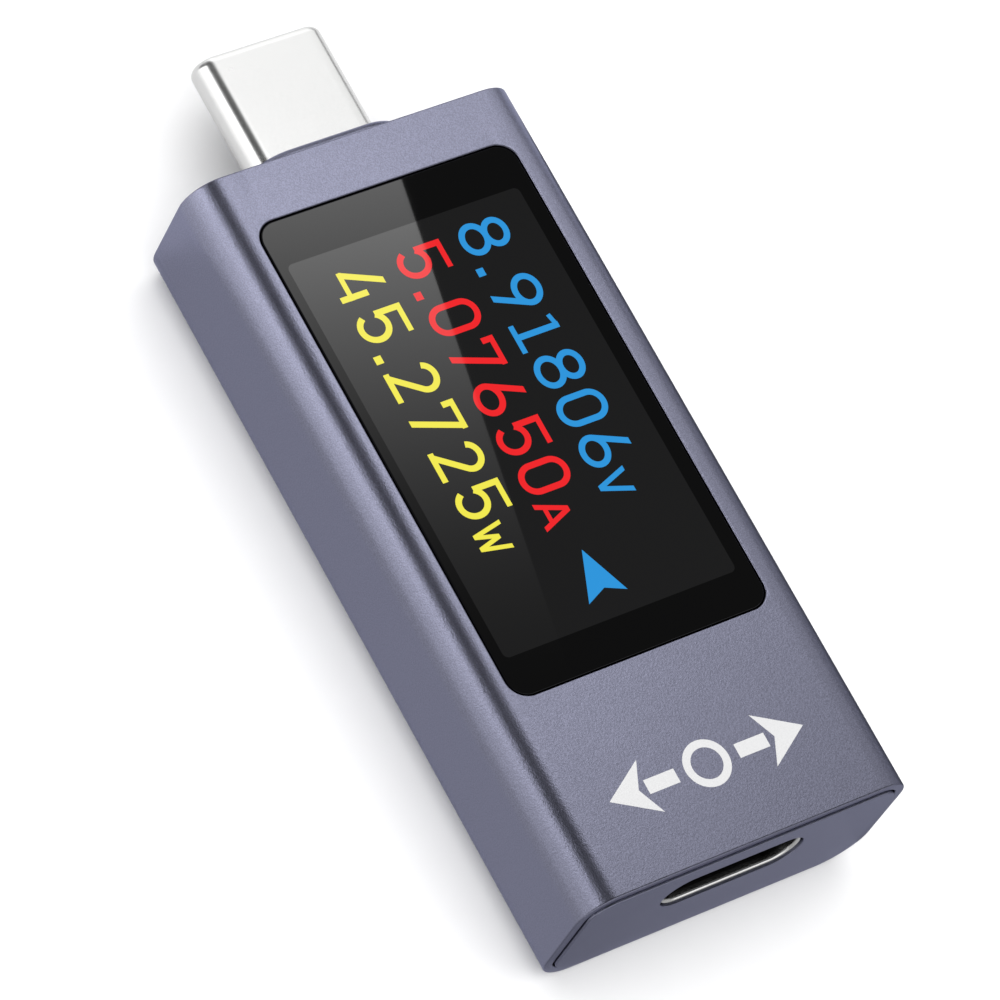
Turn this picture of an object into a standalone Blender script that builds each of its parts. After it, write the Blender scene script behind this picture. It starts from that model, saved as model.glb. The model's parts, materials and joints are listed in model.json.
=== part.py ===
"""Inline USB-C power meter: an extruded aluminium sleeve with a plug at one end and a receptacle at the other.

X is across the meter, +Y points out of the plug and +Z out of the display. The meter stands on its
underside, with the origin under the middle of its whole length. Sizes are in millimetres, and MM turns
them into metres. Heights (Z) are above the underside. Lengthwise places (Y) are from the middle of the
sleeve, and the assembly empty carries them to the origin.
"""

import math

import bmesh
import bpy

MM = 0.001

# Sleeve: the extrusion that everything slides into.
SLEEVE_WIDTH = 21.0
SLEEVE_HEIGHT = 9.7
SLEEVE_LENGTH = 45.2
SLEEVE_WALL = 1.0
SLEEVE_TOP_RADIUS = 2.1
SLEEVE_BOTTOM_RADIUS = 2.6
REBATE_DEPTH = 1.6
REBATE_RIM = 0.56
RAIL_REACH = 0.5
RAIL_HEIGHT = 0.4
RAIL_CLEARANCE = 0.05

# End caps: a plate in the sleeve's rebate and a lip behind it.
CAP_CLEARANCE = 0.1
CAP_PROUD = 0.12
LIP_DEPTH = 1.0
LIP_WALL = 0.8
BOSS_WIDTH = 10.7
BOSS_HEIGHT = 5.8
BOSS_DEPTH = 1.3

# Window in the sleeve's top wall, and the glass lens in it.
WINDOW_WIDTH = 16.54
WINDOW_LENGTH = 30.07
WINDOW_RADIUS = 1.25
WINDOW_MIDDLE_Y = 4.25
LENS_CLEARANCE = 0.08
LENS_RECESS = 0.03
LENS_THICKNESS = 0.8
TAPE_BORDER = 0.6
TAPE_THICKNESS = 0.15
STACK_GAP = 0.03

# Display module, a 1.14 inch TFT with an active area of 14.86 by 24.91.
ACTIVE_WIDTH = 14.86
ACTIVE_LENGTH = 24.91
ACTIVE_MIDDLE_Y = 4.3
POLARIZER_BORDER = 0.5
POLARIZER_THICKNESS = 0.12
CELL_WIDTH = 17.0
CELL_BORDER = 1.25
CELL_PLATE = 0.4
CELL_LEDGE = 2.8
TRAY_WIDTH = 17.6
TRAY_LENGTH = 31.0
TRAY_HEIGHT = 0.75
TRAY_WALL = 0.7
TRAY_FLOOR = 0.15
DRIVER_WIDTH = 11.0
DRIVER_LENGTH = 1.0
DRIVER_HEIGHT = 0.3
FLEX_WIDTH = 8.0
FLEX_THICKNESS = 0.1
FLEX_LANDING = 2.0
FLEX_OVERHANG = 0.4
FOAM_WIDTH = 1.5
FOAM_LENGTH = 24.0

# Circuit board: it straddles the plug, and its ends stop at the caps' lips.
BOARD_THICKNESS = 0.8
BOARD_EDGE_CLEARANCE = 0.3
BOARD_END_CLEARANCE = 0.2
NOTCH_CLEARANCE = 0.2
SOLDER_GAP = 0.03

# USB-C plug.
PLUG_WIDTH = 8.25
PLUG_HEIGHT = 2.4
PLUG_LENGTH = 7.4
PLUG_HEIGHT_ABOVE_BASE = 4.35
PLUG_WALL = 0.25
PLUG_NOSE_RADIUS = 0.35
PLUG_HOLE_CLEARANCE = 0.05
PLUG_TAIL_GAP = 0.05
INSULATOR_CLEARANCE = 0.03
INSULATOR_RECESS = 0.4
SLOT_WIDTH = 6.86
SLOT_DEPTH = 6.3
SLOT_CLEARANCE = 0.09
PLUG_CONTACT_THICKNESS = 0.08
PLUG_CONTACT_RECESS = 0.8
CONTACT_COUNT = 12
CONTACT_PITCH = 0.5
CONTACT_WIDTH = 0.22
CONTACT_CLEARANCE = 0.03
CONTACT_BAR = 0.3
CONTACT_TAIL = 1.2

# Retention latches inside the plug: they swing outwards about their roots by up to 2 degrees.
LATCH_MIDDLE_X = 3.47
LATCH_THICKNESS = 0.18
LATCH_HEIGHT = 0.66
LATCH_END_GAP = 0.6
LATCH_ROOT = 0.4
LATCH_HOOK_REACH = 0.28
LATCH_HOOK_LENGTH = 0.5
LATCH_CHANNEL_CLEARANCE = 0.09

# USB-C receptacle.
RECEPTACLE_WIDTH = 8.34
RECEPTACLE_HEIGHT = 2.56
RECEPTACLE_HEIGHT_ABOVE_BASE = 6.05
RECEPTACLE_WALL = 0.25
RECEPTACLE_LENGTH = 7.1
RECEPTACLE_RECESS = 0.15
OPENING_CLEARANCE = 0.08
TONGUE_WIDTH = 6.69
TONGUE_THICKNESS = 0.7
TONGUE_RECESS = 0.8
TONGUE_BASE = 1.3
MIDPLATE_THICKNESS = 0.1
MIDPLATE_CLEARANCE = 0.02
PAD_THICKNESS = 0.06
PAD_RECESS = 0.5
LOWER_TAIL_REACH = 0.14
UPPER_TAIL_REACH = 0.42
TAIL_FOOT = 0.56

ARC_STEPS = 8

# What follows is worked out from the sizes above.
FRONT_Y = SLEEVE_LENGTH / 2
REAR_Y = -SLEEVE_LENGTH / 2
CAP_FRONT_Y = FRONT_Y + CAP_PROUD
CAP_REAR_Y = REAR_Y - CAP_PROUD
BOSS_FACE_Y = CAP_FRONT_Y + BOSS_DEPTH
PLUG_TIP_Y = BOSS_FACE_Y + PLUG_LENGTH
ASSEMBLY_Y = -(PLUG_TIP_Y + CAP_REAR_Y) / 2
LIP_END_Y = FRONT_Y - REBATE_DEPTH - LIP_DEPTH
BOARD_FRONT_Y = LIP_END_Y - BOARD_END_CLEARANCE
BOARD_REAR_Y = -LIP_END_Y + BOARD_END_CLEARANCE
BOARD_TOP = PLUG_HEIGHT_ABOVE_BASE + BOARD_THICKNESS / 2
BOARD_BOTTOM = PLUG_HEIGHT_ABOVE_BASE - BOARD_THICKNESS / 2
INNER_WIDTH = SLEEVE_WIDTH - 2 * SLEEVE_WALL
BOARD_WIDTH = INNER_WIDTH - 2 * BOARD_EDGE_CLEARANCE
LENS_TOP = SLEEVE_HEIGHT - LENS_RECESS
LENS_BOTTOM = LENS_TOP - LENS_THICKNESS
TAPE_TOP = LENS_BOTTOM - STACK_GAP
TAPE_BOTTOM = min(TAPE_TOP - TAPE_THICKNESS, SLEEVE_HEIGHT - SLEEVE_WALL)
POLARIZER_TOP = TAPE_BOTTOM - STACK_GAP
CELL_TOP = POLARIZER_TOP - POLARIZER_THICKNESS - STACK_GAP
CELL_BOTTOM = CELL_TOP - 2 * CELL_PLATE
TRAY_TOP = CELL_BOTTOM - STACK_GAP
TRAY_BOTTOM = TRAY_TOP - TRAY_HEIGHT
CELL_FRONT_Y = ACTIVE_MIDDLE_Y + ACTIVE_LENGTH / 2 + CELL_BORDER
TRAY_FRONT_Y = CELL_FRONT_Y + FLEX_OVERHANG
TRAY_REAR_Y = TRAY_FRONT_Y - TRAY_LENGTH
CELL_REAR_Y = TRAY_REAR_Y + FLEX_OVERHANG
RECEPTACLE_MOUTH_Y = CAP_REAR_Y + RECEPTACLE_RECESS
RECEPTACLE_BACK_Y = RECEPTACLE_MOUTH_Y + RECEPTACLE_LENGTH
SHELL_WIDTH = RECEPTACLE_WIDTH + 2 * RECEPTACLE_WALL
SHELL_HEIGHT = RECEPTACLE_HEIGHT + 2 * RECEPTACLE_WALL
CONTACT_SPAN = (CONTACT_COUNT - 1) * CONTACT_PITCH + CONTACT_WIDTH
PLUG_CONTACT_LEVEL = BOARD_THICKNESS / 2 + PLUG_TAIL_GAP + PLUG_CONTACT_THICKNESS / 2
SLOT_HEIGHT = 2 * (PLUG_CONTACT_LEVEL + PLUG_CONTACT_THICKNESS / 2 + SLOT_CLEARANCE)
INSULATOR_FACE_Y = PLUG_TIP_Y - INSULATOR_RECESS
SLOT_END_Y = INSULATOR_FACE_Y - SLOT_DEPTH
PLUG_BACK_Y = BOARD_FRONT_Y + PLUG_TAIL_GAP
LATCH_ROOT_Y = SLOT_END_Y - LATCH_ROOT


def clear_scene():
    for item in list(bpy.data.objects):
        bpy.data.objects.remove(item, do_unlink=True)


def make_material(name, colour, metallic, roughness):
    material = bpy.data.materials.new(name)
    material.use_nodes = True
    shader = material.node_tree.nodes["Principled BSDF"]
    shader.inputs["Base Color"].default_value = (*colour, 1.0)
    shader.inputs["Metallic"].default_value = metallic
    shader.inputs["Roughness"].default_value = roughness
    return material


def make_materials():
    finishes = {
        "anodised_slate": ((0.24, 0.25, 0.33), 1.0, 0.45),
        "cover_glass": ((0.01, 0.01, 0.012), 0.0, 0.05),
        "black_adhesive": ((0.02, 0.02, 0.02), 0.0, 0.7),
        "display_glass": ((0.05, 0.05, 0.055), 0.0, 0.2),
        "polarizer_film": ((0.03, 0.03, 0.035), 0.0, 0.35),
        "white_plastic": ((0.85, 0.85, 0.83), 0.0, 0.5),
        "clear_acrylic": ((0.8, 0.85, 0.88), 0.0, 0.1),
        "amber_flex": ((0.55, 0.28, 0.06), 0.0, 0.4),
        "grey_foam": ((0.12, 0.12, 0.13), 0.0, 0.95),
        "black_board": ((0.015, 0.03, 0.02), 0.0, 0.4),
        "chip_plastic": ((0.03, 0.03, 0.03), 0.0, 0.55),
        "tinned_steel": ((0.72, 0.72, 0.7), 1.0, 0.3),
        "bright_nickel": ((0.8, 0.8, 0.8), 1.0, 0.15),
        "gold_plate": ((0.9, 0.68, 0.3), 1.0, 0.25),
        "black_plastic": ((0.02, 0.02, 0.022), 0.0, 0.45),
        "ferrite_grey": ((0.1, 0.1, 0.1), 0.0, 0.7),
        "ceramic_tan": ((0.5, 0.36, 0.22), 0.0, 0.5),
    }
    return {name: make_material(name, *values) for name, values in finishes.items()}


def arc(centre_u, centre_v, radius, start, end, steps=ARC_STEPS):
    """Points on an arc from start to end, in degrees, both ends included."""
    angles = [math.radians(start + (end - start) * i / steps) for i in range(steps + 1)]
    return [(centre_u + radius * math.cos(a), centre_v + radius * math.sin(a)) for a in angles]


def rounded_rectangle(width, height, radius):
    """A rectangle centred on zero, with round corners, as one loop."""
    u = width / 2 - radius
    v = height / 2 - radius
    corners = [(u, v, 0), (-u, v, 90), (-u, -v, 180), (u, -v, 270)]
    return [point for cu, cv, a in corners for point in arc(cu, cv, radius, a, a + 90)]


def stadium(width, height):
    """A slot shape centred on zero: two half circles and two straights."""
    radius = height / 2
    reach = width / 2 - radius
    right = arc(reach, 0, radius, -90, 90, 2 * ARC_STEPS)
    left = arc(-reach, 0, radius, 90, 270, 2 * ARC_STEPS)
    return right + left


def sleeve_section(inset):
    """The sleeve's cross-section, moved inwards by inset, with Z from the underside."""
    x = SLEEVE_WIDTH / 2 - inset
    top = SLEEVE_HEIGHT - inset
    top_radius = SLEEVE_TOP_RADIUS - inset
    bottom_radius = SLEEVE_BOTTOM_RADIUS - inset
    upper = arc(x - top_radius, top - top_radius, top_radius, 0, 90)
    upper += arc(-x + top_radius, top - top_radius, top_radius, 90, 180)
    lower = arc(-x + bottom_radius, inset + bottom_radius, bottom_radius, 180, 270)
    lower += arc(x - bottom_radius, inset + bottom_radius, bottom_radius, 270, 360)
    return upper + lower


def finish_object(name, mesh_data, material, parent, location):
    mesh = bpy.data.meshes.new(name)
    bmesh.ops.recalc_face_normals(mesh_data, faces=mesh_data.faces)
    mesh_data.to_mesh(mesh)
    mesh_data.free()
    if material is not None:
        mesh.materials.append(material)
    mesh.shade_smooth()
    mesh.set_sharp_from_angle(angle=math.radians(30))
    item = bpy.data.objects.new(name, mesh)
    item.parent = parent
    item.location = [value * MM for value in location]
    bpy.context.collection.objects.link(item)
    return item


def loft(name, rings, material, parent, location=(0, 0, 0), hollow=False):
    """A solid through rings of (x, z) points at stated y. A hollow one joins its last ring to its first."""
    shape = bmesh.new()
    loops = [[shape.verts.new((x * MM, y * MM, z * MM)) for x, z in ring] for y, ring in rings]
    pairs = list(zip(loops, loops[1:] + loops[:1])) if hollow else list(zip(loops, loops[1:]))
    for first, second in pairs:
        for i in range(len(first)):
            j = (i + 1) % len(first)
            shape.faces.new((first[i], first[j], second[j], second[i]))
    if not hollow:
        shape.faces.new(loops[0])
        shape.faces.new(loops[-1])
    return finish_object(name, shape, material, parent, location)


def plate(name, outline, thickness, material, parent, location):
    """A plate of (x, y) outline, from its location's height up by thickness."""
    shape = bmesh.new()
    loops = [[shape.verts.new((x * MM, y * MM, z * MM)) for x, y in outline] for z in (0, thickness)]
    for i in range(len(outline)):
        j = (i + 1) % len(outline)
        shape.faces.new((loops[0][i], loops[0][j], loops[1][j], loops[1][i]))
    shape.faces.new(loops[0])
    shape.faces.new(loops[1])
    return finish_object(name, shape, material, parent, location)


def box(name, low, high, material, parent):
    """A rectangular block between two corners."""
    size = [b - a for a, b in zip(low, high)]
    outline = [(0, 0), (size[0], 0), (size[0], size[1]), (0, size[1])]
    return plate(name, outline, size[2], material, parent, low)


def combine(target, tool, operation):
    """Cuts tool from target or joins it on, and hides the tool."""
    modifier = target.modifiers.new(tool.name, "BOOLEAN")
    modifier.operation = operation
    modifier.solver = "EXACT"
    modifier.object = tool
    tool.hide_render = True
    tool.display_type = "WIRE"


def bent_sheet(name, path, bands, filled, thickness, material, parent, location):
    """A flat sheet cut to a pattern and folded along a path.

    path lists (y, z) points, bands lists the x of each cut, and filled says whether the cell in a band
    and a path segment has metal. Corners are mitred, so the sheet keeps its thickness round each fold.
    """
    shape = bmesh.new()
    normals = []
    for i in range(len(path)):
        before = path[max(i - 1, 0)]
        here = path[i]
        after = path[min(i + 1, len(path) - 1)]
        into = unit(here[0] - before[0], here[1] - before[1]) if i > 0 else None
        out = unit(after[0] - here[0], after[1] - here[1]) if i + 1 < len(path) else None
        into = into or out
        out = out or into
        bisector = unit(-(into[1] + out[1]), into[0] + out[0])
        mitre = thickness / 2 / (bisector[0] * -out[1] + bisector[1] * out[0])
        normals.append((bisector[0] * mitre, bisector[1] * mitre))
    points = {}

    def corner(i, j, side):
        if (i, j, side) not in points:
            y = path[j][0] + side * normals[j][0]
            z = path[j][1] + side * normals[j][1]
            points[i, j, side] = shape.verts.new((bands[i] * MM, y * MM, z * MM))
        return points[i, j, side]

    cells = {(i, j) for i in range(len(bands) - 1) for j in range(len(path) - 1) if filled(i, j)}
    for i, j in sorted(cells):
        around = [(i, j), (i + 1, j), (i + 1, j + 1), (i, j + 1)]
        shape.faces.new([corner(*c, 1) for c in around])
        shape.faces.new([corner(*c, -1) for c in reversed(around)])
        sides = [((i, j - 1), 0), ((i + 1, j), 1), ((i, j + 1), 2), ((i - 1, j), 3)]
        for neighbour, k in sides:
            if neighbour not in cells:
                a = around[k]
                b = around[(k + 1) % 4]
                shape.faces.new([corner(*a, -1), corner(*b, -1), corner(*b, 1), corner(*a, 1)])
    return finish_object(name, shape, material, parent, location)


def unit(u, v):
    length = math.hypot(u, v)
    return (u / length, v / length)


def contact_comb(name, path, bar_segment, thickness, material, parent, location):
    """A row of contacts along one path, held as one piece by a bar across one of its segments."""
    bands = []
    for i in range(CONTACT_COUNT):
        middle = (i - (CONTACT_COUNT - 1) / 2) * CONTACT_PITCH
        bands += [middle - CONTACT_WIDTH / 2, middle + CONTACT_WIDTH / 2]
    return bent_sheet(
        name,
        path,
        bands,
        lambda band, segment: band % 2 == 0 or segment == bar_segment,
        thickness,
        material,
        parent,
        location,
    )


def build_sleeve(materials, parent):
    outer = sleeve_section(0)
    rim = sleeve_section(REBATE_RIM)
    inner = sleeve_section(SLEEVE_WALL)
    shoulder = FRONT_Y - REBATE_DEPTH
    rings = [(FRONT_Y, outer), (FRONT_Y, rim), (shoulder, rim), (shoulder, inner)]
    rings += [(-shoulder, inner), (-shoulder, rim), (REAR_Y, rim), (REAR_Y, outer)]
    sleeve = loft("sleeve", rings, materials["anodised_slate"], parent, hollow=True)
    window = plate(
        "window_cutter",
        rounded_rectangle(WINDOW_WIDTH, WINDOW_LENGTH, WINDOW_RADIUS),
        2 * SLEEVE_WALL,
        None,
        parent,
        (0, WINDOW_MIDDLE_Y, SLEEVE_HEIGHT - 1.5 * SLEEVE_WALL),
    )
    combine(sleeve, window, "DIFFERENCE")
    rail_end = LIP_END_Y - BOARD_END_CLEARANCE
    rail_x = INNER_WIDTH / 2
    embed = SLEEVE_WALL / 2
    for side, sign in (("left", -1), ("right", 1)):
        for level, low in (
            ("upper", BOARD_TOP + RAIL_CLEARANCE),
            ("lower", BOARD_BOTTOM - RAIL_CLEARANCE - RAIL_HEIGHT),
        ):
            reach = sorted((sign * (rail_x - RAIL_REACH), sign * (rail_x + embed)))
            rail = box(
                f"rail_{level}_{side}",
                (reach[0], -rail_end, low),
                (reach[1], rail_end, low + RAIL_HEIGHT),
                None,
                parent,
            )
            combine(sleeve, rail, "UNION")


def build_cap(name, sign, materials, parent):
    """An end cap on the +Y (sign 1) or -Y (sign -1) end: a plate that fills the rebate and a hollow lip."""
    shoulder = sign * (FRONT_Y - REBATE_DEPTH + CAP_CLEARANCE)
    plate_section = sleeve_section(REBATE_RIM + CAP_CLEARANCE)
    lip_outer = sleeve_section(SLEEVE_WALL + CAP_CLEARANCE)
    lip_inner = sleeve_section(SLEEVE_WALL + CAP_CLEARANCE + LIP_WALL)
    face_y = sign * CAP_FRONT_Y
    lip_y = sign * LIP_END_Y
    rings = [(face_y, plate_section), (shoulder, plate_section), (shoulder, lip_outer)]
    rings += [(lip_y, lip_outer), (lip_y, lip_inner), (shoulder, lip_inner)]
    return loft(name, rings, materials["anodised_slate"], parent)


def build_caps(materials, parent):
    front = build_cap("front_cap", 1, materials, parent)
    plug_centre = (0, 0, PLUG_HEIGHT_ABOVE_BASE)
    face = stadium(BOSS_WIDTH, BOSS_HEIGHT)
    boss_rings = [(CAP_FRONT_Y - CAP_CLEARANCE, face), (BOSS_FACE_Y, face)]
    boss = loft("boss_tool", boss_rings, None, parent, plug_centre)
    combine(front, boss, "UNION")
    hole = stadium(PLUG_WIDTH + 2 * PLUG_HOLE_CLEARANCE, PLUG_HEIGHT + 2 * PLUG_HOLE_CLEARANCE)
    hole_rings = [(LIP_END_Y - LIP_DEPTH, hole), (BOSS_FACE_Y + BOSS_DEPTH, hole)]
    plug_hole = loft("plug_hole_cutter", hole_rings, None, parent, plug_centre)
    combine(front, plug_hole, "DIFFERENCE")

    rear = build_cap("rear_cap", -1, materials, parent)
    opening = stadium(SHELL_WIDTH + 2 * OPENING_CLEARANCE, SHELL_HEIGHT + 2 * OPENING_CLEARANCE)
    opening_cutter = loft(
        "opening_cutter",
        [(CAP_REAR_Y - LIP_DEPTH, opening), (-LIP_END_Y + LIP_DEPTH, opening)],
        None,
        parent,
        (0, 0, RECEPTACLE_HEIGHT_ABOVE_BASE),
    )
    combine(rear, opening_cutter, "DIFFERENCE")


def build_window(materials, parent):
    width = WINDOW_WIDTH - 2 * LENS_CLEARANCE
    length = WINDOW_LENGTH - 2 * LENS_CLEARANCE
    radius = WINDOW_RADIUS - LENS_CLEARANCE
    outline = rounded_rectangle(width, length, radius)
    plate("lens", outline, LENS_THICKNESS, materials["cover_glass"], parent, (0, WINDOW_MIDDLE_Y, LENS_BOTTOM))
    height = TAPE_TOP - TAPE_BOTTOM
    tape_place = (0, WINDOW_MIDDLE_Y, TAPE_BOTTOM)
    tape = plate("window_tape", outline, height, materials["black_adhesive"], parent, tape_place)
    view = rounded_rectangle(width - 2 * TAPE_BORDER, length - 2 * TAPE_BORDER, radius)
    view_place = (0, WINDOW_MIDDLE_Y, TAPE_BOTTOM - height)
    view_cutter = plate("tape_view_cutter", view, 3 * height, None, parent, view_place)
    combine(tape, view_cutter, "DIFFERENCE")


def build_display(materials, parent):
    half_view = ACTIVE_LENGTH / 2 + POLARIZER_BORDER
    half_film = ACTIVE_WIDTH / 2 + POLARIZER_BORDER
    box(
        "lcd_polarizer",
        (-half_film, ACTIVE_MIDDLE_Y - half_view, POLARIZER_TOP - POLARIZER_THICKNESS),
        (half_film, ACTIVE_MIDDLE_Y + half_view, POLARIZER_TOP),
        materials["polarizer_film"],
        parent,
    )
    step_y = CELL_REAR_Y + CELL_LEDGE
    ledge_top = CELL_BOTTOM + CELL_PLATE
    profile = [(CELL_REAR_Y, CELL_BOTTOM), (CELL_FRONT_Y, CELL_BOTTOM), (CELL_FRONT_Y, CELL_TOP)]
    profile += [(step_y, CELL_TOP), (step_y, ledge_top), (CELL_REAR_Y, ledge_top)]
    shape = bmesh.new()
    half_cell = CELL_WIDTH / 2
    sides = (-half_cell, half_cell)
    ends = [[shape.verts.new((x * MM, y * MM, z * MM)) for y, z in profile] for x in sides]
    for i in range(len(profile)):
        j = (i + 1) % len(profile)
        shape.faces.new((ends[0][i], ends[0][j], ends[1][j], ends[1][i]))
    shape.faces.new(ends[0])
    shape.faces.new(ends[1])
    finish_object("lcd_cell", shape, materials["display_glass"], parent, (0, 0, 0))

    driver_y = CELL_REAR_Y + CELL_LEDGE / 2
    box(
        "lcd_driver",
        (-DRIVER_WIDTH / 2, driver_y, ledge_top + STACK_GAP),
        (DRIVER_WIDTH / 2, driver_y + DRIVER_LENGTH, ledge_top + STACK_GAP + DRIVER_HEIGHT),
        materials["chip_plastic"],
        parent,
    )

    half_tray = TRAY_WIDTH / 2
    tray = box(
        "backlight_tray",
        (-half_tray, TRAY_REAR_Y, TRAY_BOTTOM),
        (half_tray, TRAY_FRONT_Y, TRAY_TOP),
        materials["white_plastic"],
        parent,
    )
    well = box(
        "tray_well_cutter",
        (-half_tray + TRAY_WALL, TRAY_REAR_Y + TRAY_WALL, TRAY_BOTTOM + TRAY_FLOOR),
        (half_tray - TRAY_WALL, TRAY_FRONT_Y - TRAY_WALL, TRAY_TOP + TRAY_HEIGHT),
        None,
        parent,
    )
    combine(tray, well, "DIFFERENCE")
    inset = TRAY_WALL + 2 * STACK_GAP
    box(
        "light_guide",
        (-half_tray + inset, TRAY_REAR_Y + inset, TRAY_BOTTOM + TRAY_FLOOR + STACK_GAP),
        (half_tray - inset, TRAY_FRONT_Y - inset, TRAY_TOP - STACK_GAP),
        materials["clear_acrylic"],
        parent,
    )

    foam_edge = min(half_tray, INNER_WIDTH / 2 - RAIL_REACH - RAIL_CLEARANCE)
    for side, sign in (("left", -1), ("right", 1)):
        low_x, high_x = sorted((sign * foam_edge, sign * (foam_edge - FOAM_WIDTH)))
        box(
            f"foam_{side}",
            (low_x, ACTIVE_MIDDLE_Y - FOAM_LENGTH / 2, BOARD_TOP + STACK_GAP),
            (high_x, ACTIVE_MIDDLE_Y + FOAM_LENGTH / 2, TRAY_BOTTOM - STACK_GAP),
            materials["grey_foam"],
            parent,
        )
    build_flex(ledge_top, materials, parent)


def build_flex(ledge_top, materials, parent):
    """The flexible lead from the display's ledge, over its end, round a half turn and onto the board."""
    top = ledge_top + STACK_GAP + FLEX_THICKNESS / 2
    bottom = BOARD_TOP + SOLDER_GAP + FLEX_THICKNESS / 2
    radius = (top - bottom) / 2
    bend_y = TRAY_REAR_Y - STACK_GAP
    bend = arc(bend_y, bottom + radius, radius, 90, 270)
    path = [(CELL_REAR_Y + CELL_LEDGE / 2 - FLEX_OVERHANG, top)] + bend + [(bend_y + FLEX_LANDING, bottom)]
    bent_sheet(
        "lcd_flex",
        path,
        [-FLEX_WIDTH / 2, FLEX_WIDTH / 2],
        lambda band, segment: True,
        FLEX_THICKNESS,
        materials["amber_flex"],
        parent,
        (0, 0, 0),
    )


def build_board(materials, parent):
    board = box(
        "main_pcb",
        (-BOARD_WIDTH / 2, BOARD_REAR_Y, BOARD_BOTTOM),
        (BOARD_WIDTH / 2, BOARD_FRONT_Y, BOARD_TOP),
        materials["black_board"],
        parent,
    )
    half_notch = SHELL_WIDTH / 2 + NOTCH_CLEARANCE
    notch = box(
        "board_notch_cutter",
        (-half_notch, BOARD_REAR_Y - NOTCH_CLEARANCE, BOARD_BOTTOM - BOARD_THICKNESS),
        (half_notch, RECEPTACLE_BACK_Y + PLUG_TAIL_GAP, BOARD_TOP + BOARD_THICKNESS),
        None,
        parent,
    )
    combine(board, notch, "DIFFERENCE")

    # Each component: name, middle x, middle y, size along x, y and z, side of the board, material.
    components = [
        ("microcontroller", 0.0, 3.0, (5.0, 5.0, 0.85), 1, "chip_plastic"),
        ("current_sense_amplifier", -3.6, 10.5, (3.0, 3.0, 0.85), 1, "chip_plastic"),
        ("crystal", 4.2, 9.0, (3.2, 2.5, 0.7), 1, "tinned_steel"),
        ("voltage_regulator", -4.2, -3.6, (2.9, 1.6, 1.1), 1, "chip_plastic"),
        ("shunt_resistor", 0.0, 9.5, (6.3, 3.2, 0.7), -1, "tinned_steel"),
        ("inductor", -4.4, -6.5, (3.0, 3.0, 1.5), -1, "ferrite_grey"),
        ("protocol_chip", 2.4, -7.5, (4.0, 4.0, 0.85), -1, "chip_plastic"),
        ("capacitor_1", -4.5, 1.5, (2.0, 1.25, 1.0), 1, "ceramic_tan"),
        ("capacitor_2", 4.5, 1.5, (2.0, 1.25, 1.0), 1, "ceramic_tan"),
        ("capacitor_3", -4.5, -2.5, (2.0, 1.25, 1.0), -1, "ceramic_tan"),
        ("capacitor_4", 4.5, -2.5, (2.0, 1.25, 1.0), -1, "ceramic_tan"),
        ("resistor_1", -1.5, 6.8, (1.6, 0.8, 0.45), 1, "chip_plastic"),
        ("resistor_2", 1.5, 6.8, (1.6, 0.8, 0.45), 1, "chip_plastic"),
        ("resistor_3", -1.5, 5.6, (1.6, 0.8, 0.45), -1, "chip_plastic"),
        ("resistor_4", 1.5, 5.6, (1.6, 0.8, 0.45), -1, "chip_plastic"),
    ]
    for name, x, y, size, side, material in components:
        place_component(name, x, y, size, side, materials[material], parent)


def place_component(name, x, y, size, side, material, parent):
    """A block soldered on the board's top (side 1) or underside (side -1)."""
    bottom = BOARD_TOP + SOLDER_GAP if side > 0 else BOARD_BOTTOM - SOLDER_GAP - size[2]
    low = (x - size[0] / 2, y - size[1] / 2, bottom)
    high = (x + size[0] / 2, y + size[1] / 2, bottom + size[2])
    box(name, low, high, material, parent)


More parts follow.
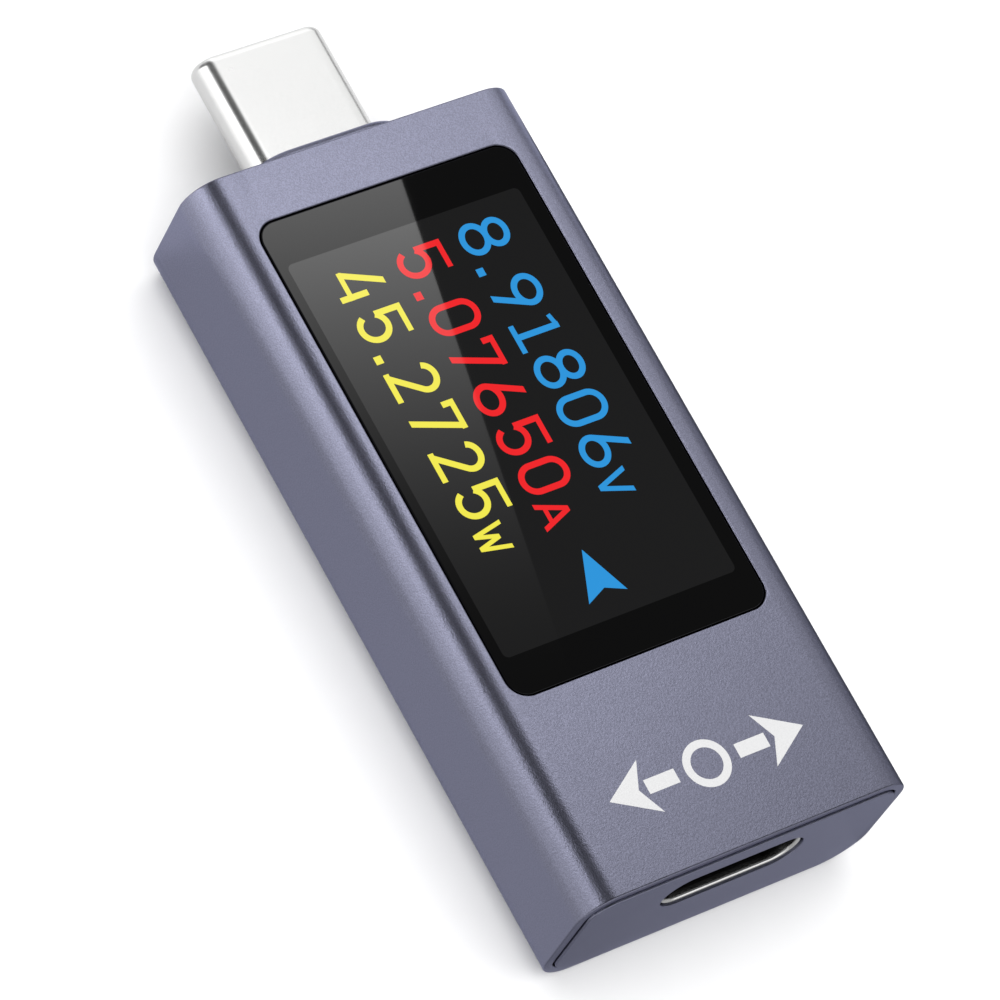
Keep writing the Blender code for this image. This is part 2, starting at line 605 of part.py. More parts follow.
def build_plug(materials, parent):
    centre = (0, 0, PLUG_HEIGHT_ABOVE_BASE)
    back_y = PLUG_BACK_Y
    nose_y = PLUG_TIP_Y - PLUG_NOSE_RADIUS
    nose = arc(nose_y, -PLUG_NOSE_RADIUS, PLUG_NOSE_RADIUS, 90, 0, ARC_STEPS // 2)
    bore = stadium(PLUG_WIDTH - 2 * PLUG_WALL, PLUG_HEIGHT - 2 * PLUG_WALL)
    mouth = stadium(PLUG_WIDTH - 2 * PLUG_NOSE_RADIUS, PLUG_HEIGHT - 2 * PLUG_NOSE_RADIUS)
    rings = [(back_y, bore), (back_y, stadium(PLUG_WIDTH, PLUG_HEIGHT))]
    rings += [(y, stadium(PLUG_WIDTH + 2 * drop, PLUG_HEIGHT + 2 * drop)) for y, drop in nose[:-1]]
    rings += [(PLUG_TIP_Y, mouth), (nose_y, bore)]
    loft("plug_shell", rings, materials["bright_nickel"], parent, centre, hollow=True)

    margin = PLUG_WALL + INSULATOR_CLEARANCE
    core = stadium(PLUG_WIDTH - 2 * margin, PLUG_HEIGHT - 2 * margin)
    core_rings = [(back_y, core), (INSULATOR_FACE_Y, core)]
    insulator = loft("plug_insulator", core_rings, materials["black_plastic"], parent, centre)
    outside_y = PLUG_TIP_Y + INSULATOR_RECESS
    slot_size = (SLOT_WIDTH, SLOT_HEIGHT)
    slot = block_cutter("plug_slot_cutter", slot_size, 0, (SLOT_END_Y, outside_y), centre, parent)
    combine(insulator, slot, "DIFFERENCE")
    channel_size = (PLUG_WIDTH, LATCH_HEIGHT + 2 * LATCH_CHANNEL_CLEARANCE)
    channel_reach = (LATCH_ROOT_Y - LATCH_CHANNEL_CLEARANCE, outside_y)
    channels = block_cutter("latch_channel_cutter", channel_size, 0, channel_reach, centre, parent)
    combine(insulator, channels, "DIFFERENCE")

    start = BOARD_FRONT_Y - CONTACT_TAIL
    bar_start = SLOT_END_Y - LATCH_ROOT - 2 * CONTACT_BAR
    path_y = [start, bar_start, bar_start + CONTACT_BAR, INSULATOR_FACE_Y - PLUG_CONTACT_RECESS]
    passage_size = (CONTACT_SPAN + 2 * CONTACT_CLEARANCE, PLUG_CONTACT_THICKNESS + 2 * CONTACT_CLEARANCE)
    passage_reach = (back_y - CONTACT_TAIL, SLOT_END_Y + CONTACT_BAR)
    for level, sign in (("upper", 1), ("lower", -1)):
        height = sign * PLUG_CONTACT_LEVEL
        cutter_name = f"plug_passage_cutter_{level}"
        passage = block_cutter(cutter_name, passage_size, height, passage_reach, centre, parent)
        combine(insulator, passage, "DIFFERENCE")
        contact_comb(
            f"plug_contacts_{level}",
            [(y, height) for y in path_y],
            1,
            PLUG_CONTACT_THICKNESS,
            materials["gold_plate"],
            parent,
            centre,
        )
    build_latches(materials, parent)


def block_cutter(name, size, middle_z, reach, centre, parent):
    """A block along Y, centred across the meter: size is across and up, reach its two ends."""
    low = (-size[0] / 2, reach[0], centre[2] + middle_z - size[1] / 2)
    high = (size[0] / 2, reach[1], centre[2] + middle_z + size[1] / 2)
    return box(name, low, high, None, parent)


def build_latches(materials, parent):
    """Two sprung arms beside the slot. Each has its origin on its hinge axis, at its root."""
    end_y = INSULATOR_FACE_Y - LATCH_END_GAP - LATCH_ROOT_Y
    for side, sign in (("left", -1), ("right", 1)):
        half = LATCH_THICKNESS / 2
        hook_y = end_y - LATCH_HOOK_LENGTH
        hook_tip = (-half - LATCH_HOOK_REACH, hook_y + LATCH_HOOK_LENGTH / 2)
        profile = [(half, 0), (half, end_y), (-half, end_y), hook_tip, (-half, hook_y), (-half, 0)]
        outline = [(sign * x, y) for x, y in profile]
        plate(
            f"plug_latch_{side}",
            outline,
            LATCH_HEIGHT,
            materials["tinned_steel"],
            parent,
            (sign * LATCH_MIDDLE_X, LATCH_ROOT_Y, PLUG_HEIGHT_ABOVE_BASE - LATCH_HEIGHT / 2),
        )


def build_receptacle(materials, parent):
    centre = (0, 0, RECEPTACLE_HEIGHT_ABOVE_BASE)
    outer = stadium(SHELL_WIDTH, SHELL_HEIGHT)
    inner = stadium(RECEPTACLE_WIDTH, RECEPTACLE_HEIGHT)
    rings = [(RECEPTACLE_BACK_Y, inner), (RECEPTACLE_BACK_Y, outer)]
    rings += [(RECEPTACLE_MOUTH_Y, outer), (RECEPTACLE_MOUTH_Y, inner)]
    loft("receptacle_shell", rings, materials["bright_nickel"], parent, centre, hollow=True)

    base_front = RECEPTACLE_BACK_Y - TONGUE_BASE
    tongue_tip = RECEPTACLE_MOUTH_Y + TONGUE_RECESS
    seat_y = base_front + TONGUE_BASE / 2
    margin = INSULATOR_CLEARANCE
    base_section = stadium(RECEPTACLE_WIDTH - 2 * margin, RECEPTACLE_HEIGHT - 2 * margin)
    base_rings = [(base_front, base_section), (RECEPTACLE_BACK_Y, base_section)]
    tongue = loft("receptacle_tongue", base_rings, materials["black_plastic"], parent, centre)
    blade_size = (TONGUE_WIDTH, TONGUE_THICKNESS)
    blade = block_cutter("tongue_tool", blade_size, 0, (tongue_tip, seat_y), centre, parent)
    combine(tongue, blade, "UNION")
    pocket_size = (TONGUE_WIDTH + RECEPTACLE_WALL, MIDPLATE_THICKNESS + 2 * MIDPLATE_CLEARANCE)
    pocket_reach = (tongue_tip - PAD_RECESS, seat_y)
    pocket = block_cutter("midplate_pocket_cutter", pocket_size, 0, pocket_reach, centre, parent)
    combine(tongue, pocket, "DIFFERENCE")
    half_plate = MIDPLATE_THICKNESS / 2
    box(
        "receptacle_midplate",
        (-TONGUE_WIDTH / 2, tongue_tip, centre[2] - half_plate),
        (TONGUE_WIDTH / 2, seat_y - MIDPLATE_CLEARANCE, centre[2] + half_plate),
        materials["tinned_steel"],
        parent,
    )

    landing = BOARD_TOP + SOLDER_GAP + PAD_THICKNESS / 2 - centre[2]
    bar_start = base_front + TONGUE_BASE / 4
    passage_size = (CONTACT_SPAN + 2 * CONTACT_CLEARANCE, PAD_THICKNESS + 2 * MIDPLATE_CLEARANCE)
    passage_reach = (base_front - TONGUE_BASE, RECEPTACLE_BACK_Y + TAIL_FOOT)
    for level, sign, tail in (("upper", 1, UPPER_TAIL_REACH), ("lower", -1, LOWER_TAIL_REACH)):
        height = sign * (TONGUE_THICKNESS / 2 + MIDPLATE_CLEARANCE + PAD_THICKNESS / 2)
        cutter_name = f"tongue_passage_cutter_{level}"
        passage = block_cutter(cutter_name, passage_size, height, passage_reach, centre, parent)
        combine(tongue, passage, "DIFFERENCE")
        drop_y = RECEPTACLE_BACK_Y + tail
        path = [(tongue_tip + PAD_RECESS, height), (bar_start, height), (bar_start + CONTACT_BAR, height)]
        path += [(drop_y, height), (drop_y, landing)]
        if level == "upper":
            path += [(drop_y + TAIL_FOOT, landing)]
        piece_name = f"receptacle_contacts_{level}"
        contact_comb(piece_name, path, 1, PAD_THICKNESS, materials["gold_plate"], parent, centre)


def main():
    clear_scene()
    materials = make_materials()
    assembly = bpy.data.objects.new("power_meter", None)
    assembly.location = (0, ASSEMBLY_Y * MM, 0)
    bpy.context.collection.objects.link(assembly)
    build_sleeve(materials, assembly)
    build_caps(materials, assembly)
    build_window(materials, assembly)
    build_display(materials, assembly)
    build_board(materials, assembly)
    build_plug(materials, assembly)
    build_receptacle(materials, assembly)


main()
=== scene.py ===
"""Looks of the inline power meter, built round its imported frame.

X is across the meter, +Y points out of the plug and +Z out of the display. Sizes in the classes are in
millimetres, measured from the middle of the sleeve on its underside, and Skin turns them into the
frame's metres. Every new piece is a surface worked out as whole arrays of points.
"""

import enum
import json
import logging
import math
from dataclasses import dataclass, field, replace
from typing import Callable, Optional, Union

import bmesh
import bpy
import numpy as np
from mathutils import Matrix, Vector

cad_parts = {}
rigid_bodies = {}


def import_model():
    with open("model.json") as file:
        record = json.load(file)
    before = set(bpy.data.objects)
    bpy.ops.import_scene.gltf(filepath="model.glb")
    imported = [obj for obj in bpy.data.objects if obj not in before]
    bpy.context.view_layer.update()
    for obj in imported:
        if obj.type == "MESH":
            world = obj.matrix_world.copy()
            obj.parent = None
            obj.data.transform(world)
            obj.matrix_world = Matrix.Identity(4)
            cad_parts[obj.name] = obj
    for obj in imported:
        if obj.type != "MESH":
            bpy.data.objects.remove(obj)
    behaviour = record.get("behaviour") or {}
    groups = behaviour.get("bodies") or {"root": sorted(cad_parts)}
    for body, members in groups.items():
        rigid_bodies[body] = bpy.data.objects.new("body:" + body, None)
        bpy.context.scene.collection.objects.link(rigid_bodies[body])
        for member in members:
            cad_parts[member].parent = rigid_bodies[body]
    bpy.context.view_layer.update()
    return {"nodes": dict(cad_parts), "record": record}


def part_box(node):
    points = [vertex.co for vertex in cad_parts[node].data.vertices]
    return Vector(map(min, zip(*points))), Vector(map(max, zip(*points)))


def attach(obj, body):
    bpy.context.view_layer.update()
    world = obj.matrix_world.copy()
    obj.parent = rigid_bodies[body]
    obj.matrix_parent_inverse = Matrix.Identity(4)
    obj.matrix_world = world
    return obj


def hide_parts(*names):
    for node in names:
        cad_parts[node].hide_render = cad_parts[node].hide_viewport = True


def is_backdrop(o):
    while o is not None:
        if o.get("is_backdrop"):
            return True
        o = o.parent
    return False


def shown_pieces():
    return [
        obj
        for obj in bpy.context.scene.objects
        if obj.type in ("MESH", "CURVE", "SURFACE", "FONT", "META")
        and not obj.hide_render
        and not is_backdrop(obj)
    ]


for leftover in list(bpy.data.objects):
    bpy.data.objects.remove(leftover, do_unlink=True)
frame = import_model()

LOG = logging.getLogger("power_meter")
MM = 0.001
MICRON = 1e-6
WELD_GRID = 1e-7
SAME = 1e-6
HOUSING = "housing"
CREASE_DEGREES = 35.0
SMOOTHEST = 0.01

Loop = np.ndarray
Piece = bpy.types.Object
Material = bpy.types.Material
Tree = bpy.types.NodeTree
Socket = bpy.types.NodeSocket


def mm_box(node: str) -> tuple[np.ndarray, np.ndarray]:
    """A CAD node's lowest and highest corners in millimetres, from the middle of the sleeve."""
    low, high = (np.array(corner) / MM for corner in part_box(node))
    shift = np.array([0.0, SLEEVE_MIDDLE_Y, 0.0])
    return low - shift, high - shift


SLEEVE_MIDDLE_Y = sum(corner.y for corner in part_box("sleeve")) / 2 / MM


# ------------------------------ surfaces


@dataclass
class Skin:
    """A mesh in the making: points in millimetres and faces of four corners, of which two may coincide."""

    points: list[np.ndarray] = field(default_factory=list)
    quads: list[np.ndarray] = field(default_factory=list)
    count: int = 0

    def add(self, points: np.ndarray, quads: np.ndarray) -> None:
        """Adds points of shape (n, 3) and the faces between them."""
        self.points.append(points.reshape(-1, 3))
        self.quads.append(quads.reshape(-1, 4) + self.count)
        self.count += len(self.points[-1])

    def grid(self, rows: np.ndarray, wrap_rows: bool = False, wrap_columns: bool = True) -> None:
        """Adds a sheet through rows of points: each face joins (i, j), (i, j+1), (i+1, j+1), (i+1, j).

        Args:
            rows: Points of shape (rows, columns, 3).
            wrap_rows: Joins the last row to the first.
            wrap_columns: Joins the last column to the first.
        """
        many, across = rows.shape[:2]
        i = np.arange(many if wrap_rows else many - 1)[:, None]
        j = np.arange(across if wrap_columns else across - 1)[None, :]
        below, beside = (i + 1) % many, (j + 1) % across
        corners = [i * across + j, i * across + beside, below * across + beside, below * across + j]
        self.add(rows, np.stack(corners, axis=-1))

    def fan(self, ring: np.ndarray) -> None:
        """Closes a ring with faces that meet at its middle."""
        middle = np.broadcast_to(ring.mean(axis=0), ring.shape)
        self.grid(np.stack([ring, middle]))

    def slab(self, outline: np.ndarray, low: float, high: float) -> None:
        """Adds a thin plate whose faces fan out from the outline's first point.

        Args:
            outline: Points (x, y) in order round the plate.
            low: Height of its lower face.
            high: Height of its upper face.
        """
        rings = np.stack([raise_to(outline, low), raise_to(outline, high)])
        self.grid(rings)
        steps = np.arange(1, len(outline) - 1)
        triangles = np.stack([0 * steps, steps, steps + 1, steps + 1], axis=-1)
        for ring in rings:
            self.add(ring, triangles)

    def mesh(self, name: str) -> bpy.types.Mesh:
        """Welds the points that share a place, drops the faces left without area and makes a mesh.

        Args:
            name: The mesh's name.

        Returns:
            The mesh, in the frame's metres, with its faces outwards and its sharp edges marked.
        """
        points = np.concatenate(self.points) * MM
        quads = np.concatenate(self.quads)
        keys = np.round(points / WELD_GRID).astype(np.int64)
        _, first, merged = np.unique(keys, axis=0, return_index=True, return_inverse=True)
        points = points[first] + np.array([0.0, SLEEVE_MIDDLE_Y * MM, 0.0])
        quads = merged.reshape(-1)[quads]
        kept = quads != np.roll(quads, 1, axis=1)
        whole = kept.sum(axis=1) >= 3
        kept &= whole[:, None]
        corners = quads[kept]
        totals = kept.sum(axis=1)[whole]
        starts = np.concatenate([[0], np.cumsum(totals)[:-1]])
        made = bpy.data.meshes.new(name)
        made.vertices.add(len(points))
        made.loops.add(len(corners))
        made.polygons.add(len(totals))
        made.vertices.foreach_set("co", points.astype(np.float32).ravel())
        made.loops.foreach_set("vertex_index", corners.astype(np.int32))
        made.polygons.foreach_set("loop_start", starts.astype(np.int32))
        made.update(calc_edges=True)
        made.validate()
        turned = bmesh.new()
        turned.from_mesh(made)
        bmesh.ops.recalc_face_normals(turned, faces=turned.faces)
        turned.to_mesh(made)
        turned.free()
        made.shade_smooth()
        made.set_sharp_from_angle(angle=math.radians(CREASE_DEGREES))
        return made


def raise_to(outline: np.ndarray, height: float) -> np.ndarray:
    """Points (x, y) put at one height."""
    return np.column_stack([outline, np.full(len(outline), height)])


def stand_at(loop: Loop, y: float) -> np.ndarray:
    """A loop of (x, z) points put at one y."""
    return np.column_stack([loop[:, 0], np.full(len(loop), y), loop[:, 1]])


def quarter(centre: tuple[float, float], radius: float, start: float, steps: int) -> np.ndarray:
    """A quarter circle: centre plus radius times (cos, sin) of angles from start to start + 90 degrees."""
    angles = np.radians(np.linspace(start, start + 90.0, steps + 1))
    return np.column_stack([centre[0] + radius * np.cos(angles), centre[1] + radius * np.sin(angles)])


@dataclass(frozen=True)
class RoundBox:
    """A rectangle with quarter circles at its corners, upper and lower radius apart.

    The loop runs anticlockwise from the right end of the upper right corner. Between corners it has
    stations at the given shares of the straight, so that loops of one kind join point to point.
    """

    half_width: float
    low: float
    high: float
    low_radius: float
    high_radius: float
    shares: tuple[float, ...] = tuple(np.linspace(0, 1, 9)[1:-1])
    steps: int = 12

    def moved_in(self, inset: float) -> "RoundBox":
        """The same shape with every side moved inwards."""
        low_radius, high_radius = self.low_radius - inset, self.high_radius - inset
        half_width, low, high = self.half_width - inset, self.low + inset, self.high - inset
        return RoundBox(half_width, low, high, low_radius, high_radius, self.shares, self.steps)

    def loop(self) -> Loop:
        """The loop's points (u, v), of shape (n, 2)."""
        reach_high = self.half_width - self.high_radius
        reach_low = self.half_width - self.low_radius
        upper = self.high - self.high_radius
        lower = self.low + self.low_radius
        corners = [
            quarter((reach_high, upper), self.high_radius, 0, self.steps),
            quarter((-reach_high, upper), self.high_radius, 90, self.steps),
            quarter((-reach_low, lower), self.low_radius, 180, self.steps),
            quarter((reach_low, lower), self.low_radius, 270, self.steps),
        ]
        shares = np.array(self.shares)[:, None]
        parts = []
        for here, after in zip(corners, corners[1:] + corners[:1]):
            parts += [here, here[-1] + shares * (after[0] - here[-1])]
        return np.concatenate(parts)


def slot_shape(width: float, height: float, middle: float, steps: int = 12) -> RoundBox:
    """A slot with half-round ends, its middle at the given height."""
    return RoundBox(width / 2, middle - height / 2, middle + height / 2, height / 2, height / 2, steps=steps)


def shell_slot(node: str, gap: float = 0.0, steps: int = 12) -> RoundBox:
    """The outline of a connector's shell, grown by a gap all round."""
    low, high = mm_box(node)
    width, height = high[0] - low[0] + 2 * gap, high[2] - low[2] + 2 * gap
    return slot_shape(width, height, (low[2] + high[2]) / 2, steps)


def edge_break(radius: float, steps: int = 4) -> np.ndarray:
    """A rounded edge as rows (inset, depth): radius times (1 - cos a, 1 - sin a), a from 0 to 90 degrees."""
    angles = np.radians(np.linspace(0, 90, steps + 1))
    return radius * np.column_stack([1 - np.cos(angles), 1 - np.sin(angles)])


def sheet(x: np.ndarray, y: np.ndarray, height: float) -> Skin:
    """A level sheet with points at every x and y."""
    skin = Skin()
    across, along = np.meshgrid(x, y)
    skin.grid(np.stack([across, along, np.full_like(across, height)], axis=-1), wrap_columns=False)
    return skin


def ringed(rings: list[tuple[RoundBox, float]]) -> Skin:
    """A closed skin through outlines (x, z), each at its y, with the last joined to the first."""
    skin = Skin()
    skin.grid(np.stack([stand_at(shape.loop(), y) for shape, y in rings]), wrap_rows=True)
    return skin


# ------------------------------ finishes


def ranged(tree: Tree, value: Socket, source: tuple, target: tuple, smooth: bool = False) -> Socket:
    """Maps a value from one range onto another and holds it at the ends.

    Args:
        tree: The nodes that the new one joins.
        value: The value to map.
        source: The two ends of its range.
        target: What the two ends become.
        smooth: Eases the step between the ends, which is straight otherwise.

    Returns:
        The mapped value.
    """
    step = tree.nodes.new("ShaderNodeMapRange")
    if smooth:
        step.interpolation_type = "SMOOTHSTEP"
    for name, number in zip(("From Min", "From Max", "To Min", "To Max"), (*source, *target)):
        step.inputs[name].default_value = number
    tree.links.new(value, step.inputs["Value"])
    return step.outputs["Result"]


def on_axis(tree: Tree, place: Socket, axis: str) -> Socket:
    """A place's value on one axis."""
    split = tree.nodes.new("ShaderNodeSeparateXYZ")
    tree.links.new(place, split.inputs["Vector"])
    return split.outputs[axis]


def combined(tree: Tree, operation: str, first: Socket, second: Union[Socket, float]) -> Socket:
    """A value combined with another, or with a number, by one of the Math node's operations."""
    step = tree.nodes.new("ShaderNodeMath")
    step.operation = operation
    tree.links.new(first, step.inputs[0])
    if isinstance(second, float):
        step.inputs[1].default_value = second
    else:
        tree.links.new(second, step.inputs[1])
    return step.outputs["Value"]


class Graph:
    """A material's nodes, with the few joins that the finishes below use."""

    def __init__(self, name: str) -> None:
        """Starts a material with a Principled shader."""
        self.material = bpy.data.materials.new(name)
        self.material.use_nodes = True
        self.tree: Tree = self.material.node_tree
        self.shader = self.tree.nodes["Principled BSDF"]
        self.place: Socket = self.tree.nodes.new("ShaderNodeTexCoord").outputs["Object"]

    def noise(
        self, size: float, detail: float = 2.0, stretch: tuple = (1, 1, 1), seed: float = 0.0
    ) -> Socket:
        """Noise whose grains are about size millimetres across, longer along an axis with a lower stretch.

        Args:
            size: Grain size in millimetres.
            detail: Octaves of finer noise.
            stretch: How much the pattern is squeezed along each axis.
            seed: A shift that sets one pattern apart from another.

        Returns:
            The noise's value socket, round 0.5.
        """
        turn = self.tree.nodes.new("ShaderNodeMapping")
        turn.inputs["Scale"].default_value = stretch
        turn.inputs["Location"].default_value = (seed, seed, seed)
        self.tree.links.new(self.place, turn.inputs["Vector"])
        grain = self.tree.nodes.new("ShaderNodeTexNoise")
        grain.inputs["Scale"].default_value = 1 / (size * MM)
        grain.inputs["Detail"].default_value = detail
        self.tree.links.new(turn.outputs["Vector"], grain.inputs["Vector"])
        return grain.outputs["Fac"]

    def spread(self, value: Socket, low: float, high: float, window: float = 0.25) -> Socket:
        """Maps noise round 0.5 linearly onto low to high; window is how far from 0.5 the ends lie."""
        return ranged(self.tree, value, (0.5 - window, 0.5 + window), (low, high))

    def tint(self, value: Socket, dark: tuple, light: tuple, window: float = 0.2) -> None:
        """Colours the base between two tones by a noise value."""
        ramp = self.tree.nodes.new("ShaderNodeValToRGB")
        ends = (0.5 - window, dark), (0.5 + window, light)
        for stop, (position, tone) in zip(ramp.color_ramp.elements, ends):
            stop.position, stop.color = position, (*tone, 1.0)
        self.tree.links.new(value, ramp.inputs["Fac"])
        self.tree.links.new(ramp.outputs["Color"], self.shader.inputs["Base Color"])

    def feed(self, socket: str, value: Socket) -> None:
        """Joins a value to one of the shader's sockets."""
        self.tree.links.new(value, self.shader.inputs[socket])

    def bump(self, heights: list[tuple[Socket, float]]) -> None:
        """Chains bumps, each a noise value and its height in micrometres."""
        below: Optional[Socket] = None
        for value, height in heights:
            bump = self.tree.nodes.new("ShaderNodeBump")
            bump.inputs["Strength"].default_value = 1.0
            bump.inputs["Distance"].default_value = height * MICRON
            self.tree.links.new(value, bump.inputs["Height"])
            if below is not None:
                self.tree.links.new(below, bump.inputs["Normal"])
            below = bump.outputs["Normal"]
        if below is not None:
            self.tree.links.new(below, self.shader.inputs["Normal"])

    def set(self, **values: Union[float, tuple]) -> None:
        """Sets shader sockets, colours without their alpha; an underscore in a name stands for a space."""
        for name, value in values.items():
            whole = (*value, 1.0) if isinstance(value, tuple) else value
            self.shader.inputs[name.replace("_", " ")].default_value = whole


def lighter(colour: tuple, share: float) -> tuple:
    """A colour times one plus share, kept at most 1."""
    return tuple(min(1.0, part * (1 + share)) for part in colour)


@dataclass(frozen=True)
class Finish:
    """A surface with grain: colour, roughness and height all vary over it.

    Sizes of grain are in millimetres and its height in micrometres.
    """

    name: str
    colour: tuple
    metallic: float = 0.0
    roughness: float = 0.5
    colour_spread: float = 0.06
    roughness_spread: float = 0.06
    grain: float = 0.12
    height: float = 1.0
    stretch: tuple = (1, 1, 1)
    patch_grains: float = 22.0
    coat: float = 0.0
    coat_roughness: float = 0.05
    transmission: float = 0.0
    ior: float = 1.5

    def tones(self) -> tuple[tuple, tuple]:
        """The colour's darkest and lightest tone."""
        return lighter(self.colour, -self.colour_spread), lighter(self.colour, self.colour_spread)

    def roughen(self, graph: Graph, size: float, seed: float = 3.1) -> None:
        """Lets the roughness vary in soft patches of the given size."""
        low, high = self.roughness - self.roughness_spread, self.roughness + self.roughness_spread
        patches = graph.noise(size, detail=3.0, seed=seed)
        graph.feed("Roughness", graph.spread(patches, max(low, SMOOTHEST), min(high, 1.0)))

    def make(self) -> Material:
        """Builds the material."""
        graph = Graph(self.name)
        grain = graph.noise(self.grain, stretch=self.stretch)
        graph.tint(grain, *self.tones())
        self.roughen(graph, self.grain * self.patch_grains)
        graph.bump([(grain, self.height)])
        graph.set(Metallic=self.metallic, IOR=self.ior)
        if self.coat:
            graph.set(Coat_Weight=self.coat, Coat_Roughness=self.coat_roughness)
        if self.transmission:
            graph.set(Transmission_Weight=self.transmission)
        return graph.material


@dataclass(frozen=True)
class BlastedAnodise(Finish):
    """Bead-blasted anodised aluminium: fine dimples over soft waviness, a little bluer at its edges."""

    fine: float = 0.064
    fine_height: float = 9.0
    coarse_height: float = 10.0
    patch: float = 4.0
    speckle: float = 0.13
    edge: tuple[float, float, float] = (0.6, 0.61, 0.72)

    def make(self) -> Material:
        """Builds the material."""
        graph = Graph(self.name)
        fine = graph.noise(self.fine, detail=1.0)
        coarse = graph.noise(self.grain, seed=1.7)
        graph.tint(fine, *self.tones(), window=self.speckle)
        self.roughen(graph, self.patch, seed=5.3)
        graph.bump([(coarse, self.coarse_height), (fine, self.fine_height)])
        graph.set(Metallic=self.metallic, Specular_Tint=self.edge)
        return graph.material


@dataclass(frozen=True)
class InkedGlass(Finish):
    """Polished glass over black ink: near black, mirror smooth, with a faint waviness; it may glow."""

    roughness: float = 0.035
    colour_spread: float = 0.1
    grain: float = 9.0
    height: float = 0.15
    sheen_swing: float = 0.2
    glow: Optional[tuple] = None
    glow_strength: float = 1.0

    def make(self) -> Material:
        """Builds the material."""
        graph = Graph(self.name)
        wave = graph.noise(self.grain, detail=1.0)
        graph.tint(wave, *self.tones())
        low, high = self.roughness * (1 - self.sheen_swing), self.roughness * (1 + self.sheen_swing)
        graph.feed("Roughness", graph.spread(wave, low, high))
        graph.bump([(wave, self.height)])
        graph.set(IOR=self.ior)
        if self.glow:
            graph.set(Emission_Strength=self.glow_strength, Emission_Color=self.glow)
        return graph.material


@dataclass(frozen=True)
class SocketNickel(Finish):
    """Nickel plate, bright at the receptacle's mouth, with painted shade that darkens it to near black
    further into the bore.

    Depths are in millimetres from the mouth.
    """

    bright_to: float = 0.2
    # Depth at which the painted shade of the bore is full, and the share of the colour left there.
    shade_from: float = 0.45
    shade_share: float = 0.12

    def make(self) -> Material:
        """Builds the material."""
        graph = Graph(self.name)
        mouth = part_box("receptacle_shell")[0].y
        ends = (mouth + self.bright_to * MM, mouth + self.shade_from * MM)
        depth = ranged(graph.tree, on_axis(graph.tree, graph.place, "Y"), ends, (0.0, 1.0))
        # Painted shade: the colour darkens with depth into the bore, standing for the shade there.
        painted_shade = lighter(self.colour, self.shade_share - 1)
        graph.tint(depth, self.colour, painted_shade, window=0.5)
        self.roughen(graph, self.grain * self.patch_grains)
        graph.bump([(graph.noise(self.grain), self.height)])
        graph.set(Metallic=self.metallic)
        return graph.material


@dataclass(frozen=True)
class BoardFinish(Finish):
    """Solder mask over woven glass: the weave shows as crossed ripples."""

    along_thread: float = 0.12
    cloud: float = 1.5
    tone_range: tuple[float, float] = (-0.2, 0.25)
    roughness_range: tuple[float, float] = (-0.05, 0.08)
    coat: float = 0.4
    coat_roughness: float = 0.12

    def make(self) -> Material:
        """Builds the material."""
        graph = Graph(self.name)
        warp = graph.noise(self.grain, stretch=(1, self.along_thread, 1))
        weft = graph.noise(self.grain, stretch=(self.along_thread, 1, 1), seed=2.2)
        dark, light = (lighter(self.colour, share) for share in self.tone_range)
        graph.tint(graph.noise(self.cloud, detail=4.0), dark, light)
        low, high = (self.roughness + step for step in self.roughness_range)
        graph.feed("Roughness", graph.spread(warp, low, high))
        graph.bump([(warp, self.height), (weft, self.height)])
        graph.set(Coat_Weight=self.coat, Coat_Roughness=self.coat_roughness)
        return graph.material


